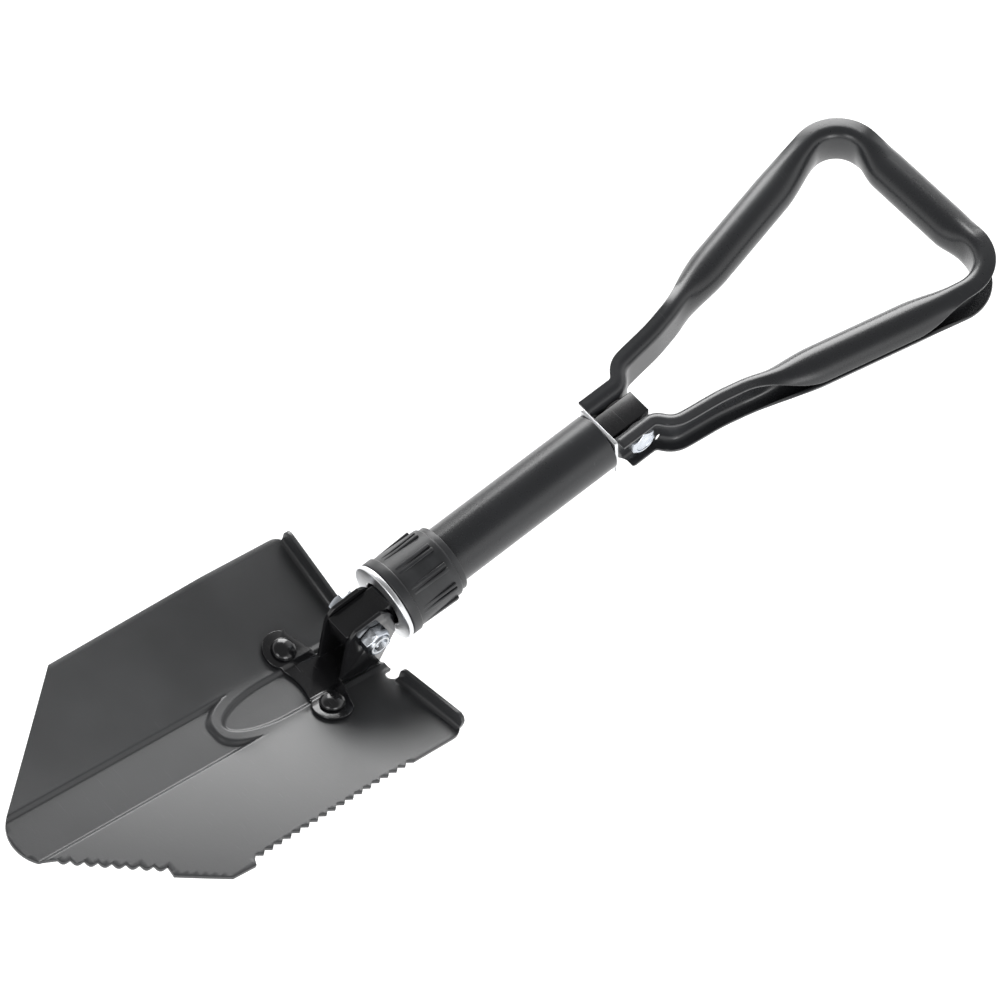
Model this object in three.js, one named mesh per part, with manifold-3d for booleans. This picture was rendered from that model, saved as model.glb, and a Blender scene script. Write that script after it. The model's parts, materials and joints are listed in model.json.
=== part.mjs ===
// Tri-fold camp shovel: a dished steel blade and a D-handle, each hinged to a tubular shaft.
// A rib-gripped collar on the shaft screws down on a washer and locks both hinges at once.
// Millimetres, +Z up. Everything is drawn in the tool's own frame (X across, +Y along the
// shaft towards the handle, +Z to the front of the blade, origin at the blade pin), and the
// whole tool is then tipped so that it lies on its heel and its handle.
import * as THREE from 'three';
import { mergeVertices } from 'three/addons/utils/BufferGeometryUtils.js';
import Module from 'manifold-3d';

// ---- driving dimensions -------------------------------------------------------------

const gap = 0.3;                    // air between pieces that touch on the real tool
const boltRadius = 4;               // M8
const boltHole = boltRadius + gap;
const hexAcross = 13;               // across the flats of an M8 head and nut
const headHeight = 5.3;
const nutHeight = 6;                // hexagonal part of the lock nut
const nutCrownHeight = 1.7;         // round crown that holds the nylon ring

const shaftLength = 166.5;          // blade pin to handle pin
const tubeRadius = 15;
const tubeWall = 1.4;

const stemWidth = 14;               // inner channel that joins the two pins
const stemTop = 9;
const stemBottom = -8;
const stemWall = 2;
const stemFrontReach = 12.3;        // channel end beyond the blade pin
const stemRearReach = 10.5;         // channel end beyond the handle pin
const stemLipDepth = 13;

const washerThickness = 3;
const pinToWasher = 14.6;
const collarTravel = 6;             // how far the collar backs off

const collarLength = 35;
const collarBandWall = 3.5;          // over the bore, at the plain band
const collarBandLength = 5.5;
const collarBodyWall = 2.6;          // behind the band
const collarEndWall = 1.4;           // at the handle end
const ribPairs = 10;
const ribSpacing = 2.9;             // between the middles of the two ribs of a pair
const ribLength = 21;
const ribWidth = 1.9;
const ribHeight = 0.9;
const threadHeight = 1.4;
const threadPitch = 2;

const plateSize = 26;               // square plate at the handle end of the tube
const plateThickness = 2;
const plateCorner = 1;
const pinToPlate = 14.5;

const bladeTilt = THREE.MathUtils.degToRad(17.3);
const heelBehindPin = 3.3;          // top edge of the blade, from the blade pin
const heelBelowPin = 31.8;
const bladeThickness = 2;
const bladeHalfWidth = 70;
const bladeSideLength = 141;        // top edge to shoulder
const bladeLength = 211.4;
const bladeCorner = 8;
const wingSlope = 0.222;            // beside the hinge
const shoulderSlope = 0.12;         // the wings flatten towards the tip
const steepLength = 50;             // top edge to where they start to
const channelHalfWidth = 14.7;
const channelDepth = 2;
const pocketHalfWidth = 12;
const pocketDepth = 1.8;
const pocketTaper = 56;             // top edge to where the pocket starts to narrow
const pocketEnd = 90;               // top edge to the pocket's round end
const ridgeWidth = 4;               // land between the pocket and the channel
const pressedWall = 2.2;            // run of a pressed step
const tipRadius = 20.5;
const lipHeight = 8;                // foot rests turned up along the top edge
const lipStart = 24;
const notchCentre = 20;
const notchRadius = 3.2;
const notchDepth = 5.2;

const sawStart = 33;
const sawTeeth = 18;
const sawPitch = 5.3;
const sawDepth = 2.2;
const hookOut = 3;                  // step out behind the last saw tooth
const hookLength = 14;
const facetRun = 17;                // plain facet between the hook and the scallops
const scallops = 8;
const scallopDepth = 1.7;

const wallGauge = 2;                // hinge bracket sheet
const bracketTop = 12.2;
const bracketFrontAngle = THREE.MathUtils.degToRad(18);
const bracketFoot = 25;             // top edge to the front foot of the walls
const bracketRearDrop = 13;
const earRadius = 10.2;
const rivetAcross = 19;
const rivetDown = 39;               // top edge to the rivets
const rivetHeadRadius = 6.3;
const rivetHeadHeight = 3.9;
const rivetRadius = 2.9;

const handleReach = 195.5;          // handle pin to the middle of the grip
const handleTubeRadius = 10.5;
const handleGauge = 1.8;
const handleHalfHeight = 13;
const channelLegDepth = 8.4;
const cornerDepth = 10.8;
const legInset = 2.2;               // the open part of a leg lies this far inwards
const legFlareStart = hexAcross / 2 + 2;  // beyond the handle pin, clear of the bolt head
const legFlareEnd = 14.5;
const legKneeX = 20.9;
const legSlope = 0.2316;
const cornerRadius = 19;
const seamGap = 2;
const bushThickness = 1;

// ---- sizes that follow from them ------------------------------------------------------

const bracketWallOuter = stemWidth / 2 + gap + wallGauge;
const washerFront = pinToWasher;
const washerRear = washerFront + washerThickness;
const collarFront = washerRear + gap;
const collarRear = collarFront + collarLength;
const plateRear = shaftLength - pinToPlate;
const plateFront = plateRear - plateThickness;
const tubeEnd = plateFront - gap;
const tubeStart = washerRear + collarTravel + gap;
const washerBore = Math.hypot(stemWidth / 2, stemTop) + 0.5;
const threadRadius = tubeRadius + gap + threadHeight;
const collarBore = threadRadius + gap;
const collarBandRadius = collarBore + collarBandWall;
const collarBodyRadius = collarBore + collarBodyWall;
const collarEndRadius = collarBore + collarEndWall;
const washerRadius = collarBandRadius;
const bracketSwing = pinToWasher - gap;
const handleSwing = pinToPlate - gap;
const legInner = stemWidth / 2 + 2 * gap + bushThickness;
const legWebOuter = legInner + handleGauge;
const legCentreX = legInner + channelLegDepth / 2;
const gripY = shaftLength + handleReach;

// ---- small helpers --------------------------------------------------------------------

const wasm = await Module();
wasm.setup();

// A closed three.js geometry as a manifold solid.
function solid(geometry) {
  const bare = geometry.clone();
  bare.deleteAttribute('normal');
  bare.deleteAttribute('uv');
  const merged = mergeVertices(bare, 1e-4);
  return new wasm.Manifold(new wasm.Mesh({
    numProp: 3,
    vertProperties: new Float32Array(merged.attributes.position.array),
    triVerts: new Uint32Array(merged.index.array),
  }));
}

function geometryOf(manifold) {
  const mesh = manifold.getMesh();
  const geometry = new THREE.BufferGeometry();
  geometry.setAttribute('position', new THREE.BufferAttribute(mesh.vertProperties, 3));
  geometry.setIndex(new THREE.BufferAttribute(mesh.triVerts, 1));
  geometry.computeVertexNormals();
  return geometry;
}

function piece(name, manifold, material) {
  const mesh = new THREE.Mesh(geometryOf(manifold), material.clone());
  mesh.name = name;
  return mesh;
}

function joined(first, ...rest) {
  return rest.reduce((sum, next) => sum.add(next), first);
}

function cutFrom(body, ...cutters) {
  return cutters.reduce((rest, cutter) => rest.subtract(cutter), body);
}

function shapeFrom(points) {
  return new THREE.Shape(points.map(([across, up]) => new THREE.Vector2(across, up)));
}

// An outline extruded between two heights along its own normal.
function slab(shape, low, high) {
  const geometry = new THREE.ExtrudeGeometry(shape, {
    depth: high - low, bevelEnabled: false, curveSegments: 10,
  });
  return geometry.translate(0, 0, low);
}

const crossways = new THREE.Matrix4().makeBasis(
  new THREE.Vector3(0, 1, 0), new THREE.Vector3(0, 0, 1), new THREE.Vector3(1, 0, 0));
const alongShaft = new THREE.Matrix4().makeBasis(
  new THREE.Vector3(0, 0, 1), new THREE.Vector3(1, 0, 0), new THREE.Vector3(0, 1, 0));

// An outline drawn in (y, z) and extruded along X.
function sideSlab(shape, low, high) {
  return slab(shape, low, high).applyMatrix4(crossways);
}

// An outline drawn in (z, x) and extruded along Y.
function frontSlab(shape, low, high) {
  return slab(shape, low, high).applyMatrix4(alongShaft);
}

// A turned piece round the Y axis; the profile is a list of [radius, y] that closes on itself.
function turned(profile, segments = 40) {
  const points = [...profile, profile[0]].map(([radius, y]) => new THREE.Vector2(radius, y));
  return new THREE.LatheGeometry(points, segments);
}

// The same, round the X axis: [radius, x].
function turnedAcross(profile, segments = 24) {
  return turned(profile, segments).rotateZ(-Math.PI / 2);
}

function rod(radius, low, high, segments = 24) {
  return new THREE.CylinderGeometry(radius, radius, high - low, segments)
    .rotateZ(-Math.PI / 2).translate((low + high) / 2, 0, 0);
}

function hexagon(acrossFlats) {
  const corner = acrossFlats / Math.sqrt(3);
  return shapeFrom([0, 1, 2, 3, 4, 5].map((side) => {
    const angle = (side + 0.5) * Math.PI / 3;
    return [corner * Math.cos(angle), corner * Math.sin(angle)];
  }));
}

// A straight ramp from 0 to 1 while a value goes from 0 to the given run.
function ramp(value, run) {
  return Math.min(Math.max(value / run, 0), 1);
}

// Bends a flat blank into a sheet-metal shape: place(across, along, face) gives each point,
// with across and along from -1 to 1 and face -1 on the back and 1 on the front.
function formed(acrossSteps, alongSteps, place) {
  const blank = new THREE.BoxGeometry(2, 2, 2, acrossSteps, alongSteps, 1);
  const position = blank.attributes.position;
  for (let i = 0; i < position.count; i += 1) {
    const point = place(position.getX(i), position.getY(i), position.getZ(i));
    position.setXYZ(i, point.x, point.y, point.z);
  }
  return blank;
}

// Spreads even steps over uneven stations, so that a formed sheet has its lines where it bends.
function atStation(stations, value) {
  const place = (value + 1) / 2 * (stations.length - 1);
  return stations[Math.min(Math.round(place), stations.length - 1)];
}

// Evenly spaced stations after from, the last one at to.
function spread(from, to, count) {
  return Array.from({ length: count }, (_, index) => from + (to - from) * (index + 1) / count);
}

function inOrder(stations) {
  return stations.sort((a, b) => a - b);
}

function mirroredStations(half) {
  return [...half.slice().reverse().map((value) => -value), 0, ...half];
}

// ---- materials ------------------------------------------------------------------------

function finish(color, roughness, metalness) {
  return new THREE.MeshStandardMaterial({ color, roughness, metalness });
}

const blackPaint = finish(0x2b2c2e, 0.42, 0.25);
const blackGrip = finish(0x232325, 0.55, 0);
const zinc = finish(0xc9ccce, 0.32, 1);
const brightZinc = finish(0xdcdedf, 0.35, 1);
const plainSteel = finish(0x8d9094, 0.4, 1);
const nylon = finish(0xe6e6e0, 0.5, 0);

// ---- blade: local frame at the middle of its top edge, y towards the handle, z forward ---

const bladeFrame = new THREE.Matrix4().makeRotationX(-bladeTilt)
  .setPosition(0, heelBehindPin, -heelBelowPin);

// How far a point lies inside the pocket's edge: straight sides, then a tapered round end.
function insidePocket(x, down) {
  const past = down - pocketTaper;
  if (past <= 0) {
    return pocketHalfWidth - Math.abs(x);
  }
  const long = pocketEnd - pocketTaper;
  const place = Math.hypot(x / pocketHalfWidth, past / long);
  return (1 - place) * place / Math.hypot(x / pocketHalfWidth ** 2, past / long ** 2);
}

// Height of the blade's front face; down is the distance from the top edge.
function bladeFront(x, down) {
  const side = Math.abs(x);
  const flattened = Math.max(down - steepLength, 0) / (bladeSideLength - steepLength);
  const slope = THREE.MathUtils.lerp(wingSlope, shoulderSlope, flattened);
  const land = channelDepth + slope * Math.max(side - channelHalfWidth, 0);
  const inside = insidePocket(x, down);
  const pocket = pocketDepth * ramp(inside, pressedWall);
  const past = down > pocketTaper ? -inside - ridgeWidth : -1;
  const channel = channelDepth * ramp(Math.min(channelHalfWidth - side, past), pressedWall);
  return land - Math.max(pocket, channel);
}

function bladeOutline() {
  const shoulderRun = (bladeHalfWidth - tipSide().x) / (tipSide().down - bladeSideLength);
  const outline = new THREE.Shape();
  const notchLeft = notchCentre - notchRadius;
  const notchRight = notchCentre + notchRadius;
  const notchFloor = notchDepth - notchRadius;

  // right half of the top edge, with its drain notch
  outline.moveTo(0, 0);
  outline.lineTo(notchLeft, 0);
  outline.lineTo(notchLeft, -notchFloor);
  outline.absarc(notchCentre, -notchFloor, notchRadius, Math.PI, 2 * Math.PI, false);
  outline.lineTo(notchRight, 0);
  outline.lineTo(bladeHalfWidth - bladeCorner, 0);
  outline.absarc(bladeHalfWidth - bladeCorner, -bladeCorner, bladeCorner, Math.PI / 2, 0, true);

  // saw
  for (let tooth = 0; tooth < sawTeeth; tooth += 1) {
    const start = sawStart + tooth * sawPitch;
    outline.lineTo(bladeHalfWidth, -start);
    outline.lineTo(bladeHalfWidth - sawDepth, -(start + sawPitch * 0.55));
  }
  const sawEnd = sawStart + sawTeeth * sawPitch;
  outline.lineTo(bladeHalfWidth, -sawEnd);

  // hook and plain facet
  const hookX = bladeHalfWidth + hookOut;
  outline.lineTo(hookX, -(sawEnd + 1.5));
  outline.lineTo(hookX - 1, -(sawEnd + hookLength));
  const scallopTop = bladeSideLength + (bladeHalfWidth - (hookX - 1 - facetRun)) / shoulderRun + 5;
  outline.lineTo(hookX - 1 - facetRun, -(scallopTop - 0.5));

  // scallops along the edge of the point
  const edgeX = (down) => bladeHalfWidth - (down - bladeSideLength) * shoulderRun;
  const scallopEnd = tipSide().down - 4;
  const scallopStep = (scallopEnd - scallopTop) / scallops;
  for (let cusp = 0; cusp < scallops; cusp += 1) {
    const start = scallopTop + cusp * scallopStep;
    outline.lineTo(edgeX(start) - scallopDepth, -(start - scallopDepth * shoulderRun));
    for (const share of [0.25, 0.5, 0.75]) {
      const bulge = scallopDepth * (1 - Math.sin(share * Math.PI));
      const down = start + share * scallopStep;
      outline.lineTo(edgeX(down) - bulge, -(down - bulge * shoulderRun));
    }
  }
  outline.lineTo(edgeX(scallopEnd) - scallopDepth, -(scallopEnd - scallopDepth * shoulderRun));

  // round tip, then the plain left side
  const tipCentre = bladeLength - tipRadius;
  const half = tipSide().angle;
  outline.lineTo(tipSide().x, -tipSide().down);
  outline.absarc(0, -tipCentre, tipRadius, half - Math.PI / 2, -half - Math.PI / 2, true);
  outline.lineTo(-bladeHalfWidth, -bladeSideLength);
  outline.lineTo(-bladeHalfWidth, -bladeCorner);
  outline.absarc(bladeCorner - bladeHalfWidth, -bladeCorner, bladeCorner, Math.PI, Math.PI / 2, true);
  outline.lineTo(-notchRight, 0);
  outline.lineTo(-notchRight, -notchFloor);
  outline.absarc(-notchCentre, -notchFloor, notchRadius, Math.PI, 2 * Math.PI, false);
  outline.lineTo(-notchLeft, 0);
  return outline;
}

// Where the straight edge of the point meets the round tip.
function tipSide() {
  const angle = Math.PI / 4;
  return {
    angle,
    x: tipRadius * Math.sin(angle),
    down: bladeLength - tipRadius + tipRadius * Math.cos(angle),
  };
}

function foldedLip(side) {
  const low = (x) => bladeFront(x, 0) - bladeThickness;
  const high = (x) => bladeFront(x, 0) + lipHeight;
  const outer = bladeHalfWidth - bladeCorner * 0.5;
  const lip = [
    [low(lipStart), side * lipStart],
    [low(outer), side * outer],
    [high(outer) - lipHeight * 0.55, side * (outer + 1.5)],
    [high(outer) - 1, side * (outer - 1)],
    [high(outer - 3), side * (outer - 4)],
    [high(lipStart + 3), side * (lipStart + 3)],
    [high(lipStart) - lipHeight * 0.5, side * lipStart],
  ];
  if (side < 0) {
    lip.reverse();
  }
  return frontSlab(shapeFrom(lip), -bladeThickness, 0);
}

const ridgeEnd = pocketEnd + ridgeWidth + pressedWall;
const bladeAcross = mirroredStations(inOrder([
  2.5, 5, 7.5, pocketHalfWidth - pressedWall, pocketHalfWidth,
  channelHalfWidth - pressedWall + 0.6, channelHalfWidth,
  ...spread(channelHalfWidth, bladeHalfWidth + hookOut + 1, 5),
]));
const bladeDown = inOrder([
  -1, ...spread(0, pocketTaper, 5), ...spread(pocketTaper, pocketEnd, 9),
  pocketEnd + ridgeWidth, ridgeEnd, ...spread(ridgeEnd, bladeLength + 1.5, 6),
]);

function bladeSheet() {
  return formed(bladeAcross.length - 1, bladeDown.length - 1, (across, along, face) => {
    const x = atStation(bladeAcross, across);
    const down = atStation(bladeDown, -along);
    const front = bladeFront(x, down);
    return new THREE.Vector3(x, -down, face > 0 ? front : front - bladeThickness);
  });
}

function rivetPlaces() {
  return [-1, 1].map((side) => ({
    side,
    x: side * rivetAcross,
    y: -rivetDown,
    z: bladeFront(rivetAcross, rivetDown),
    lean: -side * Math.atan(wingSlope),
  }));
}

// Something drawn round +Z, stood square to the wing at a rivet.
function atRivet(geometry, place) {
  return geometry.rotateX(Math.PI / 2).rotateY(place.lean).translate(place.x, place.y, place.z);
}

function rivetHoles() {
  return rivetPlaces().map((place) => solid(
    atRivet(new THREE.CylinderGeometry(rivetRadius + gap, rivetRadius + gap, 30, 20), place)));
}

function makeBlade() {
  const outline = solid(slab(bladeOutline(), -20, 40));
  const sheet = solid(bladeSheet()).intersect(outline);
  const whole = joined(sheet, solid(foldedLip(-1)), solid(foldedLip(1)));
  return cutFrom(whole, ...rivetHoles());
}

// The inner edge of a rivet's head stands over the flat land beside the pocket.
const rivetSeat = wallGauge + 3 * gap;

function makeRivet(place) {
  const seat = rivetSeat;
  const back = -bladeThickness - gap;
  const profile = [[0, back - 2], [4.4, back - 2], [4.9, back], [rivetRadius, back], [rivetRadius, seat]];
  const dome = 4;
  for (let step = 0; step <= dome; step += 1) {
    const angle = step / dome * Math.PI / 2;
    profile.push([rivetHeadRadius * Math.cos(angle), seat + rivetHeadHeight * Math.sin(angle)]);
  }
  return atRivet(turned(profile, 24), place);
}

// ---- hinge bracket ----------------------------------------------------------------------

const baseAcross = mirroredStations([
  pocketHalfWidth - pressedWall, pocketHalfWidth, channelHalfWidth, rivetAcross + earRadius + 1,
]);

// Sheet base that follows the blade: its middle strip sits in the pocket, its ears on the wings.
function bracketBase() {
  const sheet = formed(baseAcross.length - 1, 1, (across, along, face) => {
    const x = atStation(baseAcross, across);
    const under = bladeFront(x, 0) + gap;
    const height = face > 0 ? under + wallGauge : under;
    return new THREE.Vector3(x, along < 0 ? -60 : 0, height);
  });
  const outline = new THREE.Shape();
  const waist = bracketWallOuter;
  const front = rivetDown + 6.4;
  outline.moveTo(-waist, -0.5);
  outline.lineTo(-waist, -bracketFoot);
  outline.lineTo(-rivetAcross - earRadius * 0.75, -rivetDown + earRadius * 0.66);
  outline.absarc(-rivetAcross, -rivetDown, earRadius, Math.PI * 0.77, Math.PI * 1.78, false);
  outline.quadraticCurveTo(0, -front + 4.4, rivetAcross - earRadius * 0.77, -rivetDown - earRadius * 0.64);
  outline.absarc(rivetAcross, -rivetDown, earRadius, -Math.PI * 0.78, Math.PI * 0.23, false);
  outline.lineTo(waist, -bracketFoot);
  outline.lineTo(waist, -0.5);
  return solid(sheet).intersect(solid(slab(outline, -10, 30)));
}

// Side wall in (y, z). Its top corners are arcs round the pin, so that it swings past the washer.
function bracketWall() {
  const topAngle = Math.asin(bracketTop / bracketSwing);
  const seat = bladeFront(bracketWallOuter, 0) + gap;
  const foot = new THREE.Vector3(0, -bracketFoot, seat).applyMatrix4(bladeFrame);
  const heel = new THREE.Vector3(0, -0.5, seat).applyMatrix4(bladeFrame);
  const wall = new THREE.Shape();
  wall.moveTo(bracketSwing, -bracketRearDrop);
  wall.lineTo(bracketSwing, 0);
  wall.absarc(0, 0, bracketSwing, 0, topAngle, false);
  wall.lineTo(-bracketSwing * Math.cos(topAngle), bracketTop);
  wall.absarc(0, 0, bracketSwing, Math.PI - topAngle, Math.PI - bracketFrontAngle, false);
  wall.lineTo(foot.y, foot.z);
  wall.lineTo(heel.y, heel.z);
  return wall;
}

function makeBracket() {
  const base = bracketBase().transform(bladeFrame.elements);
  const right = solid(sideSlab(bracketWall(), bracketWallOuter - wallGauge, bracketWallOuter));
  const left = solid(sideSlab(bracketWall(), -bracketWallOuter, wallGauge - bracketWallOuter));
  const pinHole = solid(rod(boltHole, -30, 30));
  const holes = rivetHoles().map((hole) => hole.transform(bladeFrame.elements));
  return cutFrom(joined(base, right, left), pinHole, ...holes);
}

// ---- bolts, nuts, sleeves (round X, through the origin) ----------------------------------

// A hexagon bolt with its head on one side, under-head face at seat, threaded end at tail.
function makeBolt(side, seat, tail) {
  const ends = [side * seat, side * (seat + headHeight)];
  const head = solid(sideSlab(hexagon(hexAcross), Math.min(...ends), Math.max(...ends)));
  const crown = turnedAcross([
    [0, -1], [hexAcross / 2 + 1.3, -1], [hexAcross / 2 + 1.3, headHeight - 0.9],
    [hexAcross / 2 - 0.5, headHeight], [0, headHeight],
  ]);
  if (side < 0) {
    crown.rotateZ(Math.PI);
  }
  const trimmed = head.intersect(solid(crown.translate(side * seat, 0, 0)));
  const shank = side > 0 ? rod(boltRadius, -tail, seat + 1) : rod(boltRadius, -seat - 1, tail);
  return trimmed.add(solid(shank));
}

const ringOuter = boltRadius + 1.3;

// A lock nut on one side with its bearing face at seat: hexagon, round crown, ring recess.
function makeNut(side, seat) {
  const top = nutHeight + nutCrownHeight;
  const hexEnds = [side * seat, side * (seat + nutHeight)];
  const hex = solid(sideSlab(hexagon(hexAcross), Math.min(...hexEnds), Math.max(...hexEnds)));
  const envelope = turnedAcross([
    [0, 0], [hexAcross / 2 + 1.3, 0], [hexAcross / 2 + 1.3, nutHeight - 0.9],
    [hexAcross / 2 - 0.3, nutHeight], [hexAcross / 2 - 0.9, top], [0, top],
  ]);
  const crown = turnedAcross([
    [0, nutHeight - 1], [hexAcross / 2 - 0.3, nutHeight - 1],
    [hexAcross / 2 - 0.9, top], [0, top],
  ]);
  const recess = turnedAcross([
    [0, nutHeight - 0.6], [ringOuter + gap, nutHeight - 0.6],
    [ringOuter + gap, top + 1], [0, top + 1],
  ]);
  const bore = solid(rod(boltHole, -40, 40));
  const shells = [envelope, crown, recess].map((shell) => {
    const facing = side < 0 ? shell.rotateZ(Math.PI) : shell;
    return solid(facing.translate(side * seat, 0, 0));
  });
  return cutFrom(hex.add(shells[1]).intersect(shells[0]), shells[2], bore);
}

function makeRing(side, seat) {
  const low = nutHeight - 0.6 + gap;
  const high = nutHeight + nutCrownHeight - 0.4;
  const ring = turnedAcross([
    [boltRadius + gap, low], [ringOuter, low], [ringOuter, high], [boltRadius + gap, high],
  ]);
  const facing = side < 0 ? ring.rotateZ(Math.PI) : ring;
  return solid(facing.translate(side * seat, 0, 0));
}

function makeSleeve() {
  const half = stemWidth / 2 - stemWall - gap;
  return solid(turnedAcross([
    [boltHole, -half], [boltHole + 2, -half], [boltHole + 2, half], [boltHole, half],
  ]));
}

function makeBush(side) {
  const near = stemWidth / 2 + gap;
  const ends = [side * near, side * (near + bushThickness)].sort((a, b) => a - b);
  return solid(turnedAcross([
    [boltHole, ends[0]], [boltHole + 3.4, ends[0]], [boltHole + 3.4, ends[1]], [boltHole, ends[1]],
  ]));
}

// ---- shaft ------------------------------------------------------------------------------

function makeStem() {
  const half = stemWidth / 2;
  const low = -stemFrontReach;
  const high = shaftLength + stemRearReach;
  const block = new THREE.BoxGeometry(stemWidth, high - low, stemTop - stemBottom)
    .translate(0, (high + low) / 2, (stemTop + stemBottom) / 2);
  const hollowLow = low + stemWall;
  const hollow = new THREE.BoxGeometry(stemWidth - 2 * stemWall, high - hollowLow + 10, 40)
    .translate(0, (high + 10 + hollowLow) / 2, stemTop - stemWall - 20);
  const underLip = new THREE.BoxGeometry(stemWidth - 2 * stemWall, 10, 40)
    .translate(0, low, stemTop - stemLipDepth - 20);
  const corners = [];
  for (const [y, turn] of [[low, -1], [high, 1]]) {
    const lift = new THREE.BoxGeometry(2 * half + 2, 6, 6)
      .rotateX(Math.PI / 4).translate(0, y + turn * 1.2, stemBottom - 1.2);
    corners.push(solid(lift));
  }
  const pinHole = solid(rod(boltHole, -30, 30));
  return cutFrom(solid(block), solid(hollow), solid(underLip), ...corners, pinHole,
    pinHole.translate(0, shaftLength, 0));
}

function makeTube() {
  const inner = tubeRadius - tubeWall;
  return solid(turned([[inner, tubeStart], [tubeRadius, tubeStart], [tubeRadius, tubeEnd], [inner, tubeEnd]]));
}

// Threaded ferrule round the lower end of the tube; its thread is a row of rings.
function makeThreadSleeve() {
  const start = tubeStart + 0.5;
  const turns = Math.floor((collarRear - 5 - start) / threadPitch);
  const root = threadRadius - 0.7;
  const profile = [[tubeRadius + gap, start], [root, start]];
  for (let turn = 0; turn < turns; turn += 1) {
    const y = start + turn * threadPitch;
    profile.push([threadRadius, y + threadPitch / 2]);
    profile.push([root, y + threadPitch]);
  }
  profile.push([tubeRadius + gap, start + turns * threadPitch]);
  return solid(turned(profile, 24));
}

function makeCollar() {
  const bandEnd = collarFront + collarBandLength;
  const shell = turned([
    [collarBore, collarFront],
    [collarBandRadius - 0.6, collarFront],
    [collarBandRadius, collarFront + 0.6],
    [collarBandRadius, bandEnd - 0.5],
    [collarBodyRadius, bandEnd],
    [collarEndRadius + 0.4, collarRear - 4],
    [collarEndRadius - 0.7, collarRear - 3.2],
    [collarEndRadius - 1, collarRear - 0.6],
    [collarEndRadius - 1.6, collarRear],
    [tubeRadius + gap, collarRear],
    [tubeRadius + gap, collarRear - 3],
    [collarBore, collarRear - 3],
  ]);
  const ribs = [];
  const ribMiddle = bandEnd + 1.5 + ribLength / 2;
  for (let pair = 0; pair < ribPairs; pair += 1) {
    for (const offset of [-0.5, 0.5]) {
      const turn = pair / ribPairs * 2 * Math.PI + offset * ribSpacing / collarBodyRadius;
      const rib = new THREE.BoxGeometry(ribWidth, ribLength, 2 * ribHeight)
        .rotateX((collarBodyRadius - collarEndRadius) / collarLength)
        .translate(0, ribMiddle, (collarBodyRadius + collarEndRadius) / 2)
        .rotateY(turn);
      ribs.push(solid(rib));
    }
  }
  return joined(solid(shell), ...ribs);
}

function makeWasher() {
  return solid(turned([
    [washerBore, washerFront], [washerRadius - 0.4, washerFront], [washerRadius, washerFront + 0.5],
    [washerRadius, washerRear - 0.5], [washerRadius - 0.4, washerRear], [washerBore, washerRear],
  ]));
}

function makePlate() {
  const half = plateSize / 2;
  const corner = plateCorner;
  const shape = new THREE.Shape();
  shape.moveTo(half - corner, -half);
  shape.absarc(half - corner, corner - half, corner, -Math.PI / 2, 0, false);
  shape.absarc(half - corner, half - corner, corner, 0, Math.PI / 2, false);
  shape.absarc(corner - half, half - corner, corner, Math.PI / 2, Math.PI, false);
  shape.absarc(corner - half, corner - half, corner, Math.PI, Math.PI * 1.5, false);
  const slot = new THREE.BoxGeometry(stemWidth + 2 * gap, 10, stemTop - stemBottom + 2 * gap)
    .translate(0, plateRear, (stemTop + stemBottom) / 2);
  return cutFrom(solid(frontSlab(shape, plateFront, plateRear)), solid(slot));
}

// ---- D-handle -----------------------------------------------------------------------------

// Centreline of the right half, from the middle of the grip to the end of the leg, in (x, y).
function handleHalfPath() {
  const knee = new THREE.Vector2(legKneeX, shaftLength + legFlareEnd);
  const corner = new THREE.Vector2(legKneeX + legSlope * (gripY - knee.y), gripY);
  const bends = [
    { at: corner, radius: cornerRadius },
    { at: knee, radius: 13 },
    { at: new THREE.Vector2(legCentreX, shaftLength + legFlareStart), radius: 6.5 },
  ];
  const start = new THREE.Vector2(0, gripY);
  const end = new THREE.Vector2(legCentreX, plateRear + gap);
  const path = new THREE.Path();
  path.moveTo(start.x, start.y);
  bends.forEach((bend, i) => {
    const before = i ? bends[i - 1].at : start;
    const after = i < bends.length - 1 ? bends[i + 1].at : end;
    const arrive = bend.at.clone().sub(before).normalize();
    const leave = after.clone().sub(bend.at).normalize();
    const turn = Math.atan2(arrive.cross(leave), arrive.dot(leave));
    const reach = bend.radius * Math.tan(Math.abs(turn) / 2);
    const from = bend.at.clone().addScaledVector(arrive, -reach);
    const side = new THREE.Vector2(-arrive.y, arrive.x).multiplyScalar(Math.sign(turn));
    const centre = from.clone().addScaledVector(side, bend.radius);
    const startAngle = Math.atan2(from.y - centre.y, from.x - centre.x);
    path.lineTo(from.x, from.y);
    path.absarc(centre.x, centre.y, bend.radius, startAngle, startAngle + turn, turn < 0);
  });
  path.lineTo(end.x, end.y);
  return path;
}

// Stations close together on the bends and wide apart on the straight runs.
function handleStations() {
  const right = [];
  const path = handleHalfPath();
  for (const curve of path.curves) {
    const length = curve.getLength();
    const round = curve instanceof THREE.EllipseCurve;
    const steps = Math.max(1, round ? Math.ceil(length / 3.4) : Math.ceil(length / 20));
    for (let step = 0; step < steps; step += 1) {
      right.push(curve.getPointAt(step / steps));
    }
  }
  right.push(path.getPoint(1));
  const left = right.slice(1).reverse().map((point) => new THREE.Vector2(-point.x, point.y));
  return [...left, ...right];
}

// How far the section has opened from a rolled tube into a channel, and the channel's depth.
function handleSection(point) {
  const side = Math.abs(point.x);
  const toGrip = gripY - point.y;
  const legOpening = 1 - ramp(point.y - (shaftLength + 52), 36);
  const fromGrip = ramp(side - 24, 16) * (1 - ramp(toGrip - 20, 30));
  return {
    open: Math.max(legOpening, fromGrip * 0.85),
    inset: legInset * legOpening * ramp(point.y - (shaftLength + legFlareEnd), 30),
    depth: toGrip < 60 ? cornerDepth : channelLegDepth,
  };
}

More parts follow.
